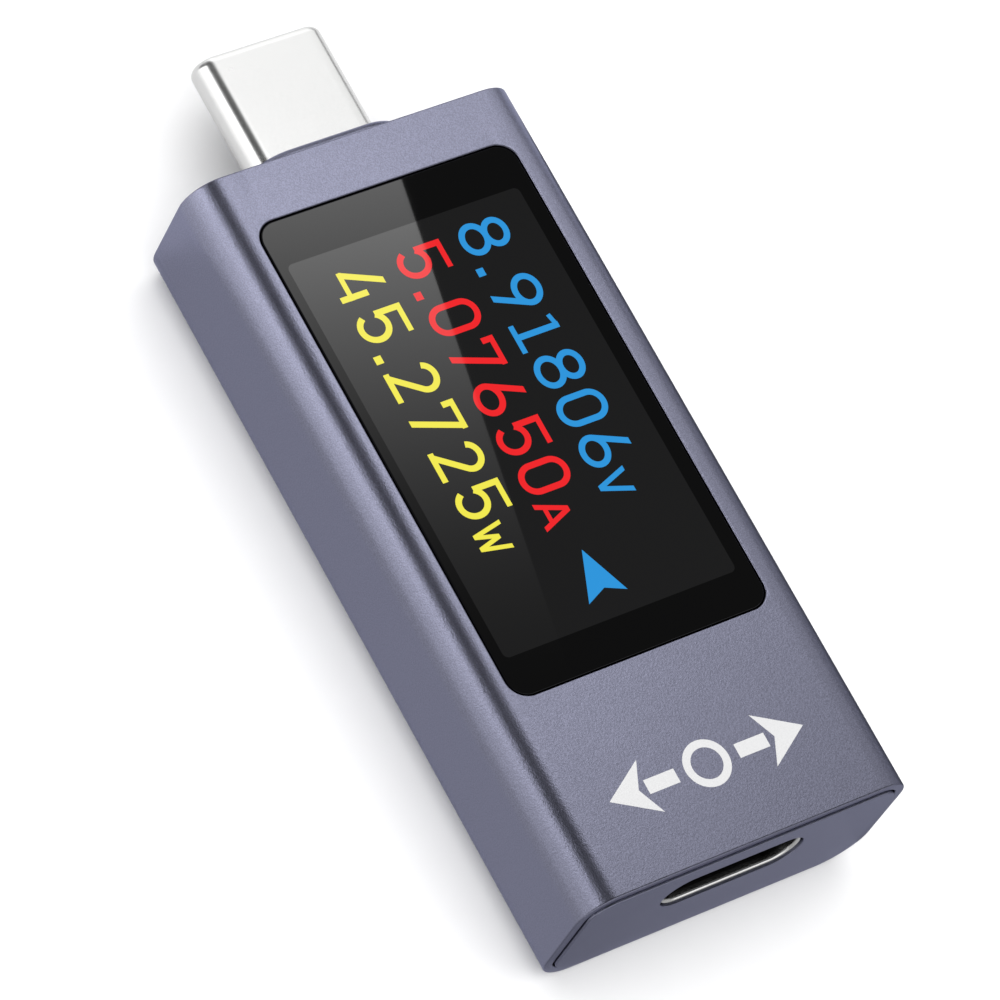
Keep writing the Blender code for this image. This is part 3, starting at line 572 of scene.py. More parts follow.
FINISHES: tuple[Finish, ...] = (
    BlastedAnodise("anodised_slate", (0.184, 0.188, 0.252), 1.0, 0.31, 0.13, 0.02, grain=0.15),
    InkedGlass("cover_glass", (0.002, 0.002, 0.0024), roughness=0.02, height=0.1),
    InkedGlass("lit_glass", (0.002, 0.002, 0.0024), roughness=0.02, height=0.1, ior=1.68,
               glow=(0.62, 0.62, 0.64), glow_strength=0.009),
    InkedGlass("volt_blue", (0.002, 0.004, 0.006), glow=(0.026, 0.30, 0.71)),
    InkedGlass("amp_red", (0.006, 0.002, 0.002), glow=(0.87, 0.018, 0.022)),
    InkedGlass("watt_yellow", (0.006, 0.006, 0.002), glow=(0.88, 0.81, 0.07)),
    Finish("print_white", (0.56, 0.56, 0.565), roughness=0.5, colour_spread=0.03, grain=0.09, height=0.8),
    Finish("black_adhesive", (0.012, 0.012, 0.012), roughness=0.75, colour_spread=0.3, grain=0.15,
           height=6.0),
    Finish("polarizer_film", (0.01, 0.01, 0.012), roughness=0.25, grain=0.2, height=0.3),
    Finish("display_glass", (0.03, 0.032, 0.035), roughness=0.08, grain=3.0, height=0.1, coat=0.5),
    Finish("chip_plastic", (0.018, 0.018, 0.019), roughness=0.6, colour_spread=0.25, grain=0.08, height=4.0),
    Finish("amber_flex", (0.42, 0.17, 0.025), roughness=0.3, grain=0.6, height=1.5, coat=0.6),
    Finish("white_plastic", (0.8, 0.8, 0.78), roughness=0.45, colour_spread=0.03, grain=0.1, height=2.0),
    Finish("clear_acrylic", (0.85, 0.88, 0.9), roughness=0.08, grain=2.0, height=0.3, transmission=0.9,
           ior=1.49),
    Finish("grey_foam", (0.07, 0.07, 0.075), roughness=0.95, colour_spread=0.4, grain=0.22, height=40.0),
    BoardFinish("black_board", (0.008, 0.014, 0.011), roughness=0.4, grain=0.5, height=4.0),
    Finish("tinned_steel", (0.62, 0.62, 0.6), 1.0, 0.28, 0.05, 0.08, height=1.2, stretch=(1, 0.15, 1)),
    Finish("ferrite_grey", (0.07, 0.07, 0.072), roughness=0.75, colour_spread=0.35, grain=0.1, height=9.0),
    Finish("ceramic_tan", (0.36, 0.22, 0.11), roughness=0.45, colour_spread=0.12, grain=0.2, height=2.0),
    Finish("bright_nickel", (0.51, 0.51, 0.507), 1.0, 0.25, 0.02, 0.03, grain=0.1, height=0.25),
    # Nickel with painted shade deep in the receptacle's bore.
    SocketNickel("socket_nickel", (0.51, 0.51, 0.507), 1.0, 0.25, 0.02, 0.03, grain=0.1, height=0.25),
    Finish("black_plastic", (0.012, 0.012, 0.013), roughness=0.5, colour_spread=0.2, grain=0.1, height=2.5),
    Finish("gold_plate", (0.83, 0.56, 0.2), 1.0, 0.22, 0.05, 0.05, grain=0.15, height=0.6),
)
MATERIALS: dict[str, Material] = {finish.name: finish.make() for finish in FINISHES}


def in_scene(name: str, data: bpy.types.ID) -> Piece:
    """Puts a new object with the given mesh, lamp or camera in the scene."""
    made = bpy.data.objects.new(name, data)
    bpy.context.scene.collection.objects.link(made)
    return made


def put_in_place(
    skin: Skin,
    name: str,
    finish: str,
    replaces: tuple[str, ...] = (),
) -> Piece:
    """Makes a piece of a skin, dresses it and lets it ride on the housing.

    Args:
        skin: The piece's surface.
        name: The piece's name.
        finish: Name of its material.
        replaces: CAD nodes that the piece stands for.

    Returns:
        The piece.
    """
    piece = in_scene(name, skin.mesh(name))
    piece.data.materials.append(MATERIALS[finish])
    level = piece.modifiers.new("level_shading", "WEIGHTED_NORMAL")
    level.keep_sharp = True
    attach(piece, HOUSING)
    if replaces:
        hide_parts(*replaces)
    LOG.info("%s: %d faces, %s", name, len(piece.data.polygons), finish)
    return piece


# ------------------------------ housing


@dataclass
class Sleeve:
    """The extruded sleeve, with the window in its top wall and a rebate for a cap at each end."""

    wall: float = 1.0
    top_radius: float = 2.1
    bottom_radius: float = 2.6
    rim: float = 0.56
    rebate: float = 1.6
    end_edge: float = 0.1
    window_width: float = 16.54
    window_length: float = 30.07
    window_radius: float = 1.25
    window_middle: float = 4.25
    window_edge: float = 0.09
    corner_steps: int = 16

    def __post_init__(self) -> None:
        """Takes the outer size from the CAD node."""
        _, (self.half_width, self.end, self.height) = mm_box("sleeve")
        self.flat = self.half_width - self.top_radius

    def window(self, grown: float) -> Loop:
        """The window's outline (x, y), grown outwards."""
        half, radius = self.window_length / 2, self.window_radius
        shape = RoundBox(self.window_width / 2, -half, half, radius, radius, steps=self.corner_steps)
        return shape.moved_in(-grown).loop() + np.array([0.0, self.window_middle])

    def frame_round_window(self, grown: float, end: float) -> tuple[Loop, Loop]:
        """The window's outline and the flat's border, point for point.

        A point on a corner's first half goes straight out to the nearer side, one on its second half to
        the end, and the corner's middle point goes to the border's corner.

        Args:
            grown: How far the window is grown.
            end: How far the flat reaches along y from the sleeve's middle.

        Returns:
            The two loops, of equal length.
        """
        hole = self.window(grown)
        middle = np.array([0.0, self.window_middle])
        half = np.array([self.window_width / 2 + grown, self.window_length / 2 + grown])
        radius = self.window_radius + grown
        beyond = (np.abs(hole - middle) - (half - radius)) / radius
        lean = beyond[:, 0] - beyond[:, 1]
        side = np.sign(hole - middle)
        to_side = np.column_stack([side[:, 0] * self.flat, hole[:, 1]])
        to_end = np.column_stack([hole[:, 0], side[:, 1] * end])
        to_corner = side * np.array([self.flat, end])
        border = np.where((lean > SAME)[:, None], to_side, to_end)
        border = np.where((np.abs(lean) <= SAME)[:, None], to_corner, border)
        return hole, border

    def section(self, inset: float, shares: tuple[float, ...]) -> Loop:
        """The sleeve's outline (x, z), moved inwards, with the top's stations at the given shares."""
        outline = RoundBox(
            self.half_width, 0.0, self.height, self.bottom_radius, self.top_radius, shares, self.corner_steps
        )
        return outline.moved_in(inset).loop()

    def tube(self, skin: Skin, inset: float, grown: float, end: float) -> tuple[float, ...]:
        """Adds one windowed wall: the flat round the window, and the rest of the outline carried along y.

        Args:
            skin: Takes the surface.
            inset: How far the wall lies inside the sleeve's outline.
            grown: How far the window is grown.
            end: Where the wall ends, either side of the sleeve's middle.

        Returns:
            The shares along the top at which the wall's ends have stations.
        """
        hole, border = self.frame_round_window(grown, end)
        top = self.height - inset
        skin.grid(np.stack([raise_to(border, top), raise_to(hole, top)]))
        on_side = np.abs(border[:, 0] - self.flat) < SAME
        stations = np.unique(np.round(border[on_side, 1], 9))
        on_end = np.abs(border[:, 1] - end) < SAME
        across = np.unique(np.round(border[on_end, 0], 9))[1:-1]
        shares = tuple((self.flat - across[::-1]) / (2 * self.flat))
        loop = self.section(inset, shares)
        begin = self.corner_steps + len(shares) + 1
        rest = np.roll(loop, -begin, axis=0)[: len(loop) - len(shares)]
        rows = np.stack([stand_at(rest, y) for y in stations])
        skin.grid(rows, wrap_columns=False)
        return shares

    def build(self) -> Piece:
        """Builds the sleeve as one closed skin."""
        skin = Skin()
        shoulder = self.end - self.rebate
        outer = self.tube(skin, 0.0, self.window_edge, self.end - self.end_edge)
        inner = self.tube(skin, self.wall, 0.0, shoulder)
        chamfer = self.end_edge / 2
        ends = [(inset, self.end - depth) for inset, depth in edge_break(self.end_edge)]
        ends += [(self.rim - chamfer, self.end), (self.rim, self.end - chamfer), (self.rim, shoulder)]
        for side in (1, -1):
            skin.grid(np.stack([stand_at(self.section(inset, outer), side * y) for inset, y in ends]))
            step = ((self.rim, outer), (self.wall, inner))
            skin.grid(np.stack([stand_at(self.section(*ring), side * shoulder) for ring in step]))
        edge = [(grown, depth) for depth, grown in edge_break(self.window_edge)] + [(0.0, self.wall)]
        skin.grid(np.stack([raise_to(self.window(grown), self.height - depth) for grown, depth in edge]))
        return put_in_place(skin, "sleeve_shell", "anodised_slate", replaces=("sleeve",))


@dataclass
class EndCap:
    """An end cap: a plate in the sleeve's rebate with a lip behind it, and an opening for the connector."""

    sleeve: Sleeve
    name: str
    node: str
    side: int
    opening: RoundBox
    boss: Optional[RoundBox] = None
    boss_depth: float = 1.3
    clearance: float = 0.1
    face_edge: float = 0.1
    boss_edge: float = 0.45
    opening_edge: float = 0.06
    lip_depth: float = 1.0
    lip_wall: float = 0.8

    def build(self) -> Piece:
        """Builds the cap as rings from its face over the lip and back through the opening."""
        sleeve = self.sleeve
        low, high = mm_box(self.node)
        outermost = high[1] if self.side > 0 else -low[1]
        face = outermost - (self.boss_depth if self.boss else 0.0)
        shoulder = sleeve.end - sleeve.rebate + self.clearance
        lip_end = sleeve.end - sleeve.rebate - self.lip_depth
        outline = RoundBox(sleeve.half_width, 0.0, sleeve.height, sleeve.bottom_radius, sleeve.top_radius)
        plate = outline.moved_in(sleeve.rim + self.clearance)
        lip = outline.moved_in(sleeve.wall + self.clearance)
        bore = lip.moved_in(self.lip_wall)
        small = edge_break(self.opening_edge)[::-1]
        rings = [(bore, shoulder), (bore, lip_end), (lip, lip_end), (lip, shoulder), (plate, shoulder)]
        rings += [(plate.moved_in(inset), face - depth) for inset, depth in edge_break(self.face_edge)]
        if self.boss:
            rings += [(self.boss.moved_in(-depth), face + inset) for inset, depth in small]
            rounded = edge_break(self.boss_edge)
            rings += [(self.boss.moved_in(inset), outermost - depth) for inset, depth in rounded]
        rings += [(self.opening.moved_in(-inset), outermost - depth) for inset, depth in small]
        rings += [(self.opening, shoulder)]
        skin = ringed([(shape, self.side * y) for shape, y in rings])
        return put_in_place(skin, self.name, "anodised_slate", replaces=(self.node,))


@dataclass
class Caps:
    """The two end caps, fitted round the connectors' shells."""

    sleeve: Sleeve
    plug_gap: float = 0.05
    receptacle_gap: float = 0.08
    boss_size: tuple[float, float] = (10.7, 5.8)

    def build(self) -> None:
        """Builds the front cap with its boss, and the plain rear cap."""
        plug = shell_slot("plug_shell", self.plug_gap)
        boss = slot_shape(*self.boss_size, (plug.low + plug.high) / 2)
        receptacle = shell_slot("receptacle_shell", self.receptacle_gap)
        EndCap(self.sleeve, "front_cap_machined", "front_cap", 1, plug, boss).build()
        EndCap(self.sleeve, "rear_cap_machined", "rear_cap", -1, receptacle).build()


# ------------------------------ window


@dataclass
class Window:
    """The cover glass and the lit picture laminated under its face."""

    lit_half_width: float = 7.43
    lit_middle: float = -0.17
    lit_low: float = -8.395
    lit_high: float = 16.515
    lit_radius: float = 0.35
    glass_edge: float = 0.08
    glass_radius: float = 1.17
    lit_rise: float = 0.003
    mark_rise: float = 0.006
    stroke_step: float = 0.001
    sunk: float = 0.05

    def __post_init__(self) -> None:
        """Takes the glass's size from the CAD node."""
        self.low, self.high = mm_box("lens")

    def build(self) -> list[Piece]:
        """Builds the glass and the lit area."""
        low, high, radius, top = self.low, self.high, self.glass_radius, self.high[2]
        shape = RoundBox(high[0], low[1], high[1], radius, radius)
        rows = [raise_to(shape.loop(), low[2])]
        edge = edge_break(self.glass_edge)
        rows += [raise_to(shape.moved_in(inset).loop(), top - depth) for inset, depth in edge]
        radius = self.lit_radius
        shape = RoundBox(self.lit_half_width, self.lit_low, self.lit_high, radius, radius)
        border = shape.loop() + np.array([self.lit_middle, 0.0])
        rings = [raise_to(border, top - self.sunk), raise_to(border, top + self.lit_rise)]
        return [
            put_in_place(self.closed(rows), "lens_glass", "cover_glass", replaces=("lens",)),
            put_in_place(self.closed(rings), "lit_panel", "lit_glass"),
        ]

    @staticmethod
    def closed(rows: list[np.ndarray]) -> Skin:
        """A skin through rows of points, its first and last row closed."""
        skin = Skin()
        skin.grid(np.stack(rows))
        for row in (rows[0], rows[-1]):
            skin.fan(row)
        return skin


class Cut(enum.Enum):
    """How a stroke ends: square to its path, or level with the line of writing."""

    SQUARE = 0
    LEVEL = 1


SHARPEST_MITRE = 0.35


@dataclass(frozen=True)
class Stroke:
    """A pen stroke of even width along a path of points (u, v), in millimetres."""

    path: np.ndarray
    width: float
    start: Cut = Cut.SQUARE
    stop: Cut = Cut.SQUARE
    closed: bool = False

    def edges(self) -> tuple[np.ndarray, np.ndarray]:
        """Both edges of the stroke.

        Each point moves by half the width along the mitre of its two neighbouring directions. A level
        end moves sideways instead, until it meets the same edge line.
        """
        path = self.path
        if self.closed:
            before, after = np.roll(path, 1, axis=0), np.roll(path, -1, axis=0)
        else:
            before = np.vstack([2 * path[0] - path[1], path[:-1]])
            after = np.vstack([path[1:], 2 * path[-1] - path[-2]])
        into = (path - before) / np.linalg.norm(path - before, axis=1)[:, None]
        out = (after - path) / np.linalg.norm(after - path, axis=1)[:, None]
        mitre = np.column_stack([-(into + out)[:, 1], (into + out)[:, 0]])
        mitre /= np.linalg.norm(mitre, axis=1)[:, None]
        square = np.column_stack([-out[:, 1], out[:, 0]])
        reach = mitre / np.maximum((mitre * square).sum(axis=1), SHARPEST_MITRE)[:, None]
        for end, cut in ((0, self.start), (-1, self.stop)):
            if cut is Cut.LEVEL and not self.closed:
                reach[end] = np.array([1 / square[end, 0], 0.0])
        return path + reach * self.width / 2, path - reach * self.width / 2


def bow(
    u: float, v: float, ru: float, rv: float, start: float, stop: float, steps: int = 28
) -> np.ndarray:
    """Part of an ellipse: (u, v) plus (ru cos a, rv sin a) for a from start to stop in degrees."""
    angles = np.radians(np.linspace(start, stop, steps + 1))
    return np.column_stack([u + ru * np.cos(angles), v + rv * np.sin(angles)])


def through(*points: tuple[float, float]) -> np.ndarray:
    """A path through the given points."""
    return np.array(points, float)


def oval(u: float, v: float, ru: float, rv: float, width: float) -> Stroke:
    """A stroke round a whole ellipse."""
    return Stroke(bow(u, v, ru, rv, 0, 360, steps=48)[:-1], width, closed=True)


def bar(start: tuple[float, float], stop: tuple[float, float], width: float) -> Stroke:
    """A straight stroke with square ends."""
    return Stroke(through(start, stop), width)


def slope(start: tuple[float, float], stop: tuple[float, float], width: float) -> Stroke:
    """A slanted stroke with level ends."""
    return Stroke(through(start, stop), width, Cut.LEVEL, Cut.LEVEL)


@dataclass(frozen=True)
class Numerals:
    """Digits and unit signs drawn with an even stroke on a cell about 2 wide and 3.08 high."""

    pen: float = 0.365
    thin: float = 0.32
    light: float = 0.29

    def zero(self) -> list[Stroke]:
        """A long ring with straight sides."""
        path = np.vstack([bow(0.97, 2.13, 0.78, 0.77, 0, 180), bow(0.97, 0.97, 0.78, 0.78, 180, 360)])
        return [Stroke(path, self.pen, closed=True)]

    def one(self) -> list[Stroke]:
        """A stem on a foot, with a flag."""
        stem, foot = bar((0.78, 0.1), (0.78, 2.85), self.pen), bar((0.0, 0.16), (1.75, 0.16), self.thin)
        return [stem, foot, bar((0.07, 2.55), (0.75, 2.71), 0.27)]

    def two(self) -> list[Stroke]:
        """An open bow, a slope and a foot."""
        path = np.vstack([bow(0.88, 2.15, 0.73, 0.68, 168, -38), through((0.27, 0.17))])
        return [Stroke(path, self.pen, stop=Cut.LEVEL), bar((0.0, 0.17), (1.82, 0.17), 0.34)]

    def four(self) -> list[Stroke]:
        """A slope, a bar and a short stem."""
        stem = bar((1.57, 0.0), (1.57, 1.7), self.pen)
        return [slope((1.2, 2.95), (0.17, 0.66), self.pen), bar((0.0, 0.64), (1.76, 0.64), 0.3), stem]

    def five(self) -> list[Stroke]:
        """A bar, a stem and an open bow."""
        top, stem = bar((0.0, 2.87), (1.76, 2.87), self.thin), bar((0.18, 2.9), (0.18, 1.38), 0.36)
        return [top, stem, Stroke(bow(0.9, 1.0, 0.77, 0.82, 152, -150), self.pen)]

    def six(self) -> list[Stroke]:
        """A nine turned upside down."""
        return [replace(stroke, path=np.array([1.98, 3.1]) - stroke.path) for stroke in self.nine()]

    def seven(self) -> list[Stroke]:
        """A bar with a short drop and a slope."""
        top, drop = bar((0.0, 2.84), (1.84, 2.84), self.thin), bar((0.18, 2.9), (0.18, 2.24), 0.36)
        return [top, drop, slope((1.62, 2.75), (0.6, 0.0), self.pen)]

    def eight(self) -> list[Stroke]:
        """Two rings, the lower one larger."""
        return [oval(1.02, 0.91, 0.83, 0.72, self.pen), oval(0.98, 2.27, 0.74, 0.63, self.pen)]

    def nine(self) -> list[Stroke]:
        """A ring with a straight leg."""
        leg = np.vstack([bow(1.01, 2.2, 0.82, 0.71, 10, -20, 8), through((0.9, 0.0))])
        return [oval(1.01, 2.2, 0.82, 0.71, self.pen), Stroke(leg, self.pen, stop=Cut.LEVEL)]

    def point(self) -> list[Stroke]:
        """A square dot."""
        return [bar((0.0, 0.23), (0.49, 0.23), 0.46)]

    def volt(self) -> list[Stroke]:
        """The sign for volts."""
        return [slope((u, 1.92), (0.79, 0.0), self.light) for u in (0.14, 1.44)]

    def ampere(self) -> list[Stroke]:
        """The sign for amperes."""
        slopes = [slope((u, 0.0), (0.86, 1.88), self.light) for u in (0.15, 1.57)]
        return [*slopes, bar((0.36, 0.56), (1.36, 0.56), 0.26)]

    def watt(self) -> list[Stroke]:
        """The sign for watts."""
        turns = [(0.13, 1.86), (0.5, 0.0), (0.88, 1.45), (1.26, 0.0), (1.63, 1.86)]
        return [slope(start, stop, 0.25) for start, stop in zip(turns, turns[1:])]


@dataclass
class Readout:
    """One line of the display: signs with the y at which each starts, read towards -Y with +X up."""

    name: str
    finish: str
    foot: float
    signs: tuple[tuple[Callable[[], list[Stroke]], float], ...]

    def build(self, window: Window) -> Piece:
        """Builds the line's strokes as thin plates in the glass's face."""
        skin = Skin()
        top = window.high[2] + window.mark_rise
        for sign, start in self.signs:
            for level, stroke in enumerate(sign()):
                height = top + level * window.stroke_step
                add_stroke(skin, stroke, (self.foot, start), top - window.sunk, height)
        return put_in_place(skin, self.name, self.finish)


def add_stroke(skin: Skin, stroke: Stroke, corner: tuple[float, float], low: float, high: float) -> None:
    """Adds a stroke as a plate: its four long edges carried along the path, closed at its ends.

    Args:
        skin: Takes the surface.
        stroke: The stroke, whose u runs towards -Y and v towards +X.
        corner: The x and y where the stroke's u and v are zero.
        low: Height of the lower face.
        high: Height of the upper face.
    """
    left, right = (
        np.column_stack([corner[0] + edge[:, 1], corner[1] - edge[:, 0]]) for edge in stroke.edges()
    )
    rails = (left, high), (right, high), (right, low), (left, low)
    rows = np.stack([raise_to(rail, height) for rail, height in rails], axis=1)
    skin.grid(rows, wrap_rows=stroke.closed)
    if not stroke.closed:
        for row in (rows[0], rows[-1]):
            skin.add(row, np.array([[0, 1, 2, 3]]))


@dataclass
class Picture:
    """Everything the display shows: three readings and the cursor."""

    window: Window
    pens: Numerals = field(default_factory=Numerals)
    cursor: tuple = ((-0.32, -6.66), (0.87, -7.19), (-0.38, -4.24), (-1.61, -7.23))

    def build(self) -> list[Piece]:
        """Builds the readings and the cursor."""
        p = self.pens
        volts = Readout("reading_volts", "volt_blue", 2.39, (
            (p.eight, 15.44), (p.point, 12.74), (p.nine, 11.72), (p.one, 9), (p.eight, 6.79),
            (p.zero, 4.21), (p.six, 1.65), (p.volt, -0.61)))
        amps = Readout("reading_amperes", "amp_red", -1.69, (
            (p.five, 15.16), (p.point, 12.62), (p.zero, 11.53), (p.seven, 8.92), (p.six, 6.42),
            (p.five, 3.78), (p.zero, 1.36), (p.ampere, -0.94)))
        watts = Readout("reading_watts", "watt_yellow", -5.73, (
            (p.four, 15.14), (p.five, 12.44), (p.point, 9.93), (p.two, 8.78), (p.seven, 6.26),
            (p.two, 3.72), (p.five, 1.2), (p.watt, -1.04)))
        pieces = [line.build(self.window) for line in (volts, amps, watts)]
        skin = Skin()
        top = self.window.high[2] + self.window.mark_rise
        skin.slab(np.array(self.cursor), top - self.window.sunk, top)
        pieces.append(put_in_place(skin, "cursor_arrow", "volt_blue"))
        return pieces


@dataclass
class FlowMark:
    """A plain two-way arrow printed on the sleeve: power may flow either way."""

    middle: tuple[float, float] = (-0.15, -17.7)
    half_length: float = 6.2
    head_length: float = 2.6
    half_head: float = 1.6
    half_shaft: float = 0.42
    notch: float = 0.75
    gap: float = 0.55
    ring_radius: float = 1.15
    ring_width: float = 0.46
    rise: float = 0.004
    sunk: float = 0.03

    def build(self) -> Piece:
        """Builds two arrows that point away from a ring."""
        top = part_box("sleeve")[1].z / MM
        skin = Skin()
        for side in (-1, 1):
            tip = self.half_length
            neck = tip - self.head_length
            root = self.ring_radius + self.ring_width / 2 + self.gap
            head = [(neck + self.notch, 0.0), (neck, self.half_head), (tip, 0.0), (neck, -self.half_head)]
            shaft = [(root, self.half_shaft), (neck + self.notch / 3, self.half_shaft)]
            shaft += [(neck + self.notch / 3, -self.half_shaft), (root, -self.half_shaft)]
            for outline in (head, shaft):
                flat = np.array(outline) * np.array([side, 1.0]) + np.array(self.middle)
                skin.slab(flat, top - self.sunk, top + self.rise)
        circle = oval(0.0, 0.0, self.ring_radius, self.ring_radius, self.ring_width)
        add_stroke(skin, circle, self.middle, top - self.sunk, top + self.rise)
        return put_in_place(skin, "flow_mark", "print_white")


# ------------------------------ connectors


@dataclass
class Plug:
    """The plug's drawn steel shell, its nose rounded over to a thin lip."""

    wall: float = 0.25
    nose: float = 0.5
    nose_reach: float = 0.4
    nose_turn: float = 78.0
    nose_steps: int = 10
    lip: float = 0.06
    lip_depth: float = 0.12
    bore_depth: float = 0.45
    ends_steps: int = 18

    def build(self) -> Piece:
        """Builds the shell as rings from its back, over the nose and down the bore."""
        (_, back, _), (_, tip, _) = mm_box("plug_shell")
        outer = shell_slot("plug_shell", steps=self.ends_steps)
        bore = outer.moved_in(self.wall)
        rings = [(bore, back), (outer, back)]
        rings += [(outer.moved_in(inset), tip - depth) for inset, depth in self.nose_profile()]
        rings += [(bore.moved_in(self.lip), tip - self.lip_depth), (bore, tip - self.bore_depth)]
        return put_in_place(ringed(rings), "plug_shell_drawn", "bright_nickel", replaces=("plug_shell",))

    def nose_profile(self) -> np.ndarray:
        """The nose's rows (inset, depth from the tip), most of a quarter ellipse.

        The inset is its reach times (1 - cos a) and the depth its length times (1 - sin a / sin turn),
        for a from 0 to the turn.
        """
        angles = np.radians(np.linspace(0, self.nose_turn, self.nose_steps + 1))
        depth = self.nose * (1 - np.sin(angles) / math.sin(math.radians(self.nose_turn)))
        return np.column_stack([self.nose_reach * (1 - np.cos(angles)), depth])


@dataclass
class Receptacle:
    """The receptacle's steel shell, with a rounded mouth."""

    wall: float = 0.25
    lip: float = 0.04
    lead_in: float = 0.18
    ends_steps: int = 18

    def build(self) -> Piece:
        """Builds the shell as rings from its back over the outside, round the mouth and into the bore."""
        (_, mouth, _), (_, back, _) = mm_box("receptacle_shell")
        outer = shell_slot("receptacle_shell", steps=self.ends_steps)
        bore = outer.moved_in(self.wall)
        rings = [(bore, back), (outer, back)]
        rings += [(outer.moved_in(inset), mouth + depth) for inset, depth in edge_break(self.lip)]
        lead_in = edge_break(self.lead_in)[::-1]
        rings += [(bore.moved_in(-inset), mouth + depth) for inset, depth in lead_in]
        # Its finish paints shade into the bore.
        return put_in_place(
            ringed(rings), "receptacle_shell_drawn", "socket_nickel", ("receptacle_shell",)
        )


# ------------------------------ studio


def posed(place: Vector, x_axis: Vector, y_axis: Vector, z_axis: Vector) -> Matrix:
    """The matrix that puts an object at a place in millimetres, with its axes along three directions."""
    return Matrix.Translation(place * MM) @ Matrix((x_axis, y_axis, z_axis)).transposed().to_4x4()


class Audience(enum.Enum):
    """What a card lights: the glass and the picture in it, the connectors' shells, or all but the glass."""

    GLASS = "glass"
    CONNECTORS = "connectors"
    REST = "rest"


@dataclass(frozen=True)
class Card:
    """A soft rectangular lamp that glows on one face, the one that first x second points away from.

    Its middle and its two half sides are in the frame, in millimetres. Brightness runs from low to high
    along the second half side, raised to a power, and from one to fall along the first.
    """

    name: str
    middle: tuple[float, float, float]
    first: tuple[float, float, float]
    second: tuple[float, float, float]
    low: float
    high: float
    fall: float = 1.0
    power: float = 1.0
    audience: Audience = Audience.REST
    glossy: bool = True
    diffuse: bool = False

    def build(self, listeners: dict[Audience, bpy.types.Collection]) -> None:
        """Builds the card and says what it lights.

        Its power is pi times its area, so that a strength of one is a radiance of one.

        Args:
            listeners: The collection of pieces that each audience stands for.
        """
        first, second = Vector(self.first), Vector(self.second)
        lamp = bpy.data.lights.new(self.name, "AREA")
        lamp.shape = "RECTANGLE"
        lamp.size = 2 * first.length * MM
        lamp.size_y = 2 * second.length * MM
        lamp.energy = math.pi * lamp.size * lamp.size_y
        self.grade(lamp)
        card = in_scene(self.name, lamp)
        across, along = first.normalized(), second.normalized()
        card.matrix_world = posed(Vector(self.middle), across, along, across.cross(along))
        card.visible_camera = False
        card.visible_glossy = self.glossy
        card.visible_diffuse = self.diffuse
        card.light_linking.receiver_collection = listeners[self.audience]

    def grade(self, lamp: bpy.types.Light) -> None:
        """Sets the lamp's brightness: (low + (high - low) v) to the power, times (1 + (fall - 1) u)."""
        lamp.use_nodes = True
        tree = lamp.node_tree
        place = tree.nodes.new("ShaderNodeNewGeometry").outputs["Parametric"]
        rise = ranged(tree, on_axis(tree, place, "Y"), (0.0, 1.0), (self.low, self.high))
        fall = ranged(tree, on_axis(tree, place, "X"), (0.0, 1.0), (1.0, self.fall))
        strength = combined(tree, "MULTIPLY", combined(tree, "POWER", rise, self.power), fall)
        tree.links.new(strength, tree.nodes["Emission"].inputs["Strength"])


@dataclass(frozen=True)
class Shade:
    """A dim card lying just above the floor, which only reflections see: it stands for deep soft shadow.

    Its corners are in the frame, in millimetres. Its glow runs from near to far across it.
    """

    name: str
    low: tuple[float, float]
    high: tuple[float, float]
    near: float
    far: float
    height: float = 0.1

    def build(self) -> None:
        """Builds the card."""
        x = np.linspace(self.low[0], self.high[0], 3)
        y = np.linspace(self.low[1], self.high[1], 3) - SLEEVE_MIDDLE_Y
        card = in_scene(self.name, sheet(x, y, self.height).mesh(self.name))
        card.data.materials.append(self.glow())
        for sight in ("camera", "diffuse", "shadow", "transmission", "volume_scatter"):
            setattr(card, f"visible_{sight}", False)
        card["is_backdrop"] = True

    def glow(self) -> Material:
        """The card's material: black, with a glow that follows its place along X."""
        graph = Graph(self.name)
        ends = (self.low[0] * MM, self.high[0] * MM)
        level = ranged(graph.tree, on_axis(graph.tree, graph.place, "X"), ends, (self.near, self.far))
        graph.feed("Emission Strength", level)
        graph.set(Base_Color=(0.0, 0.0, 0.0), Emission_Color=(1.0, 1.0, 1.0), Specular_IOR_Level=0.0)
        return graph.material


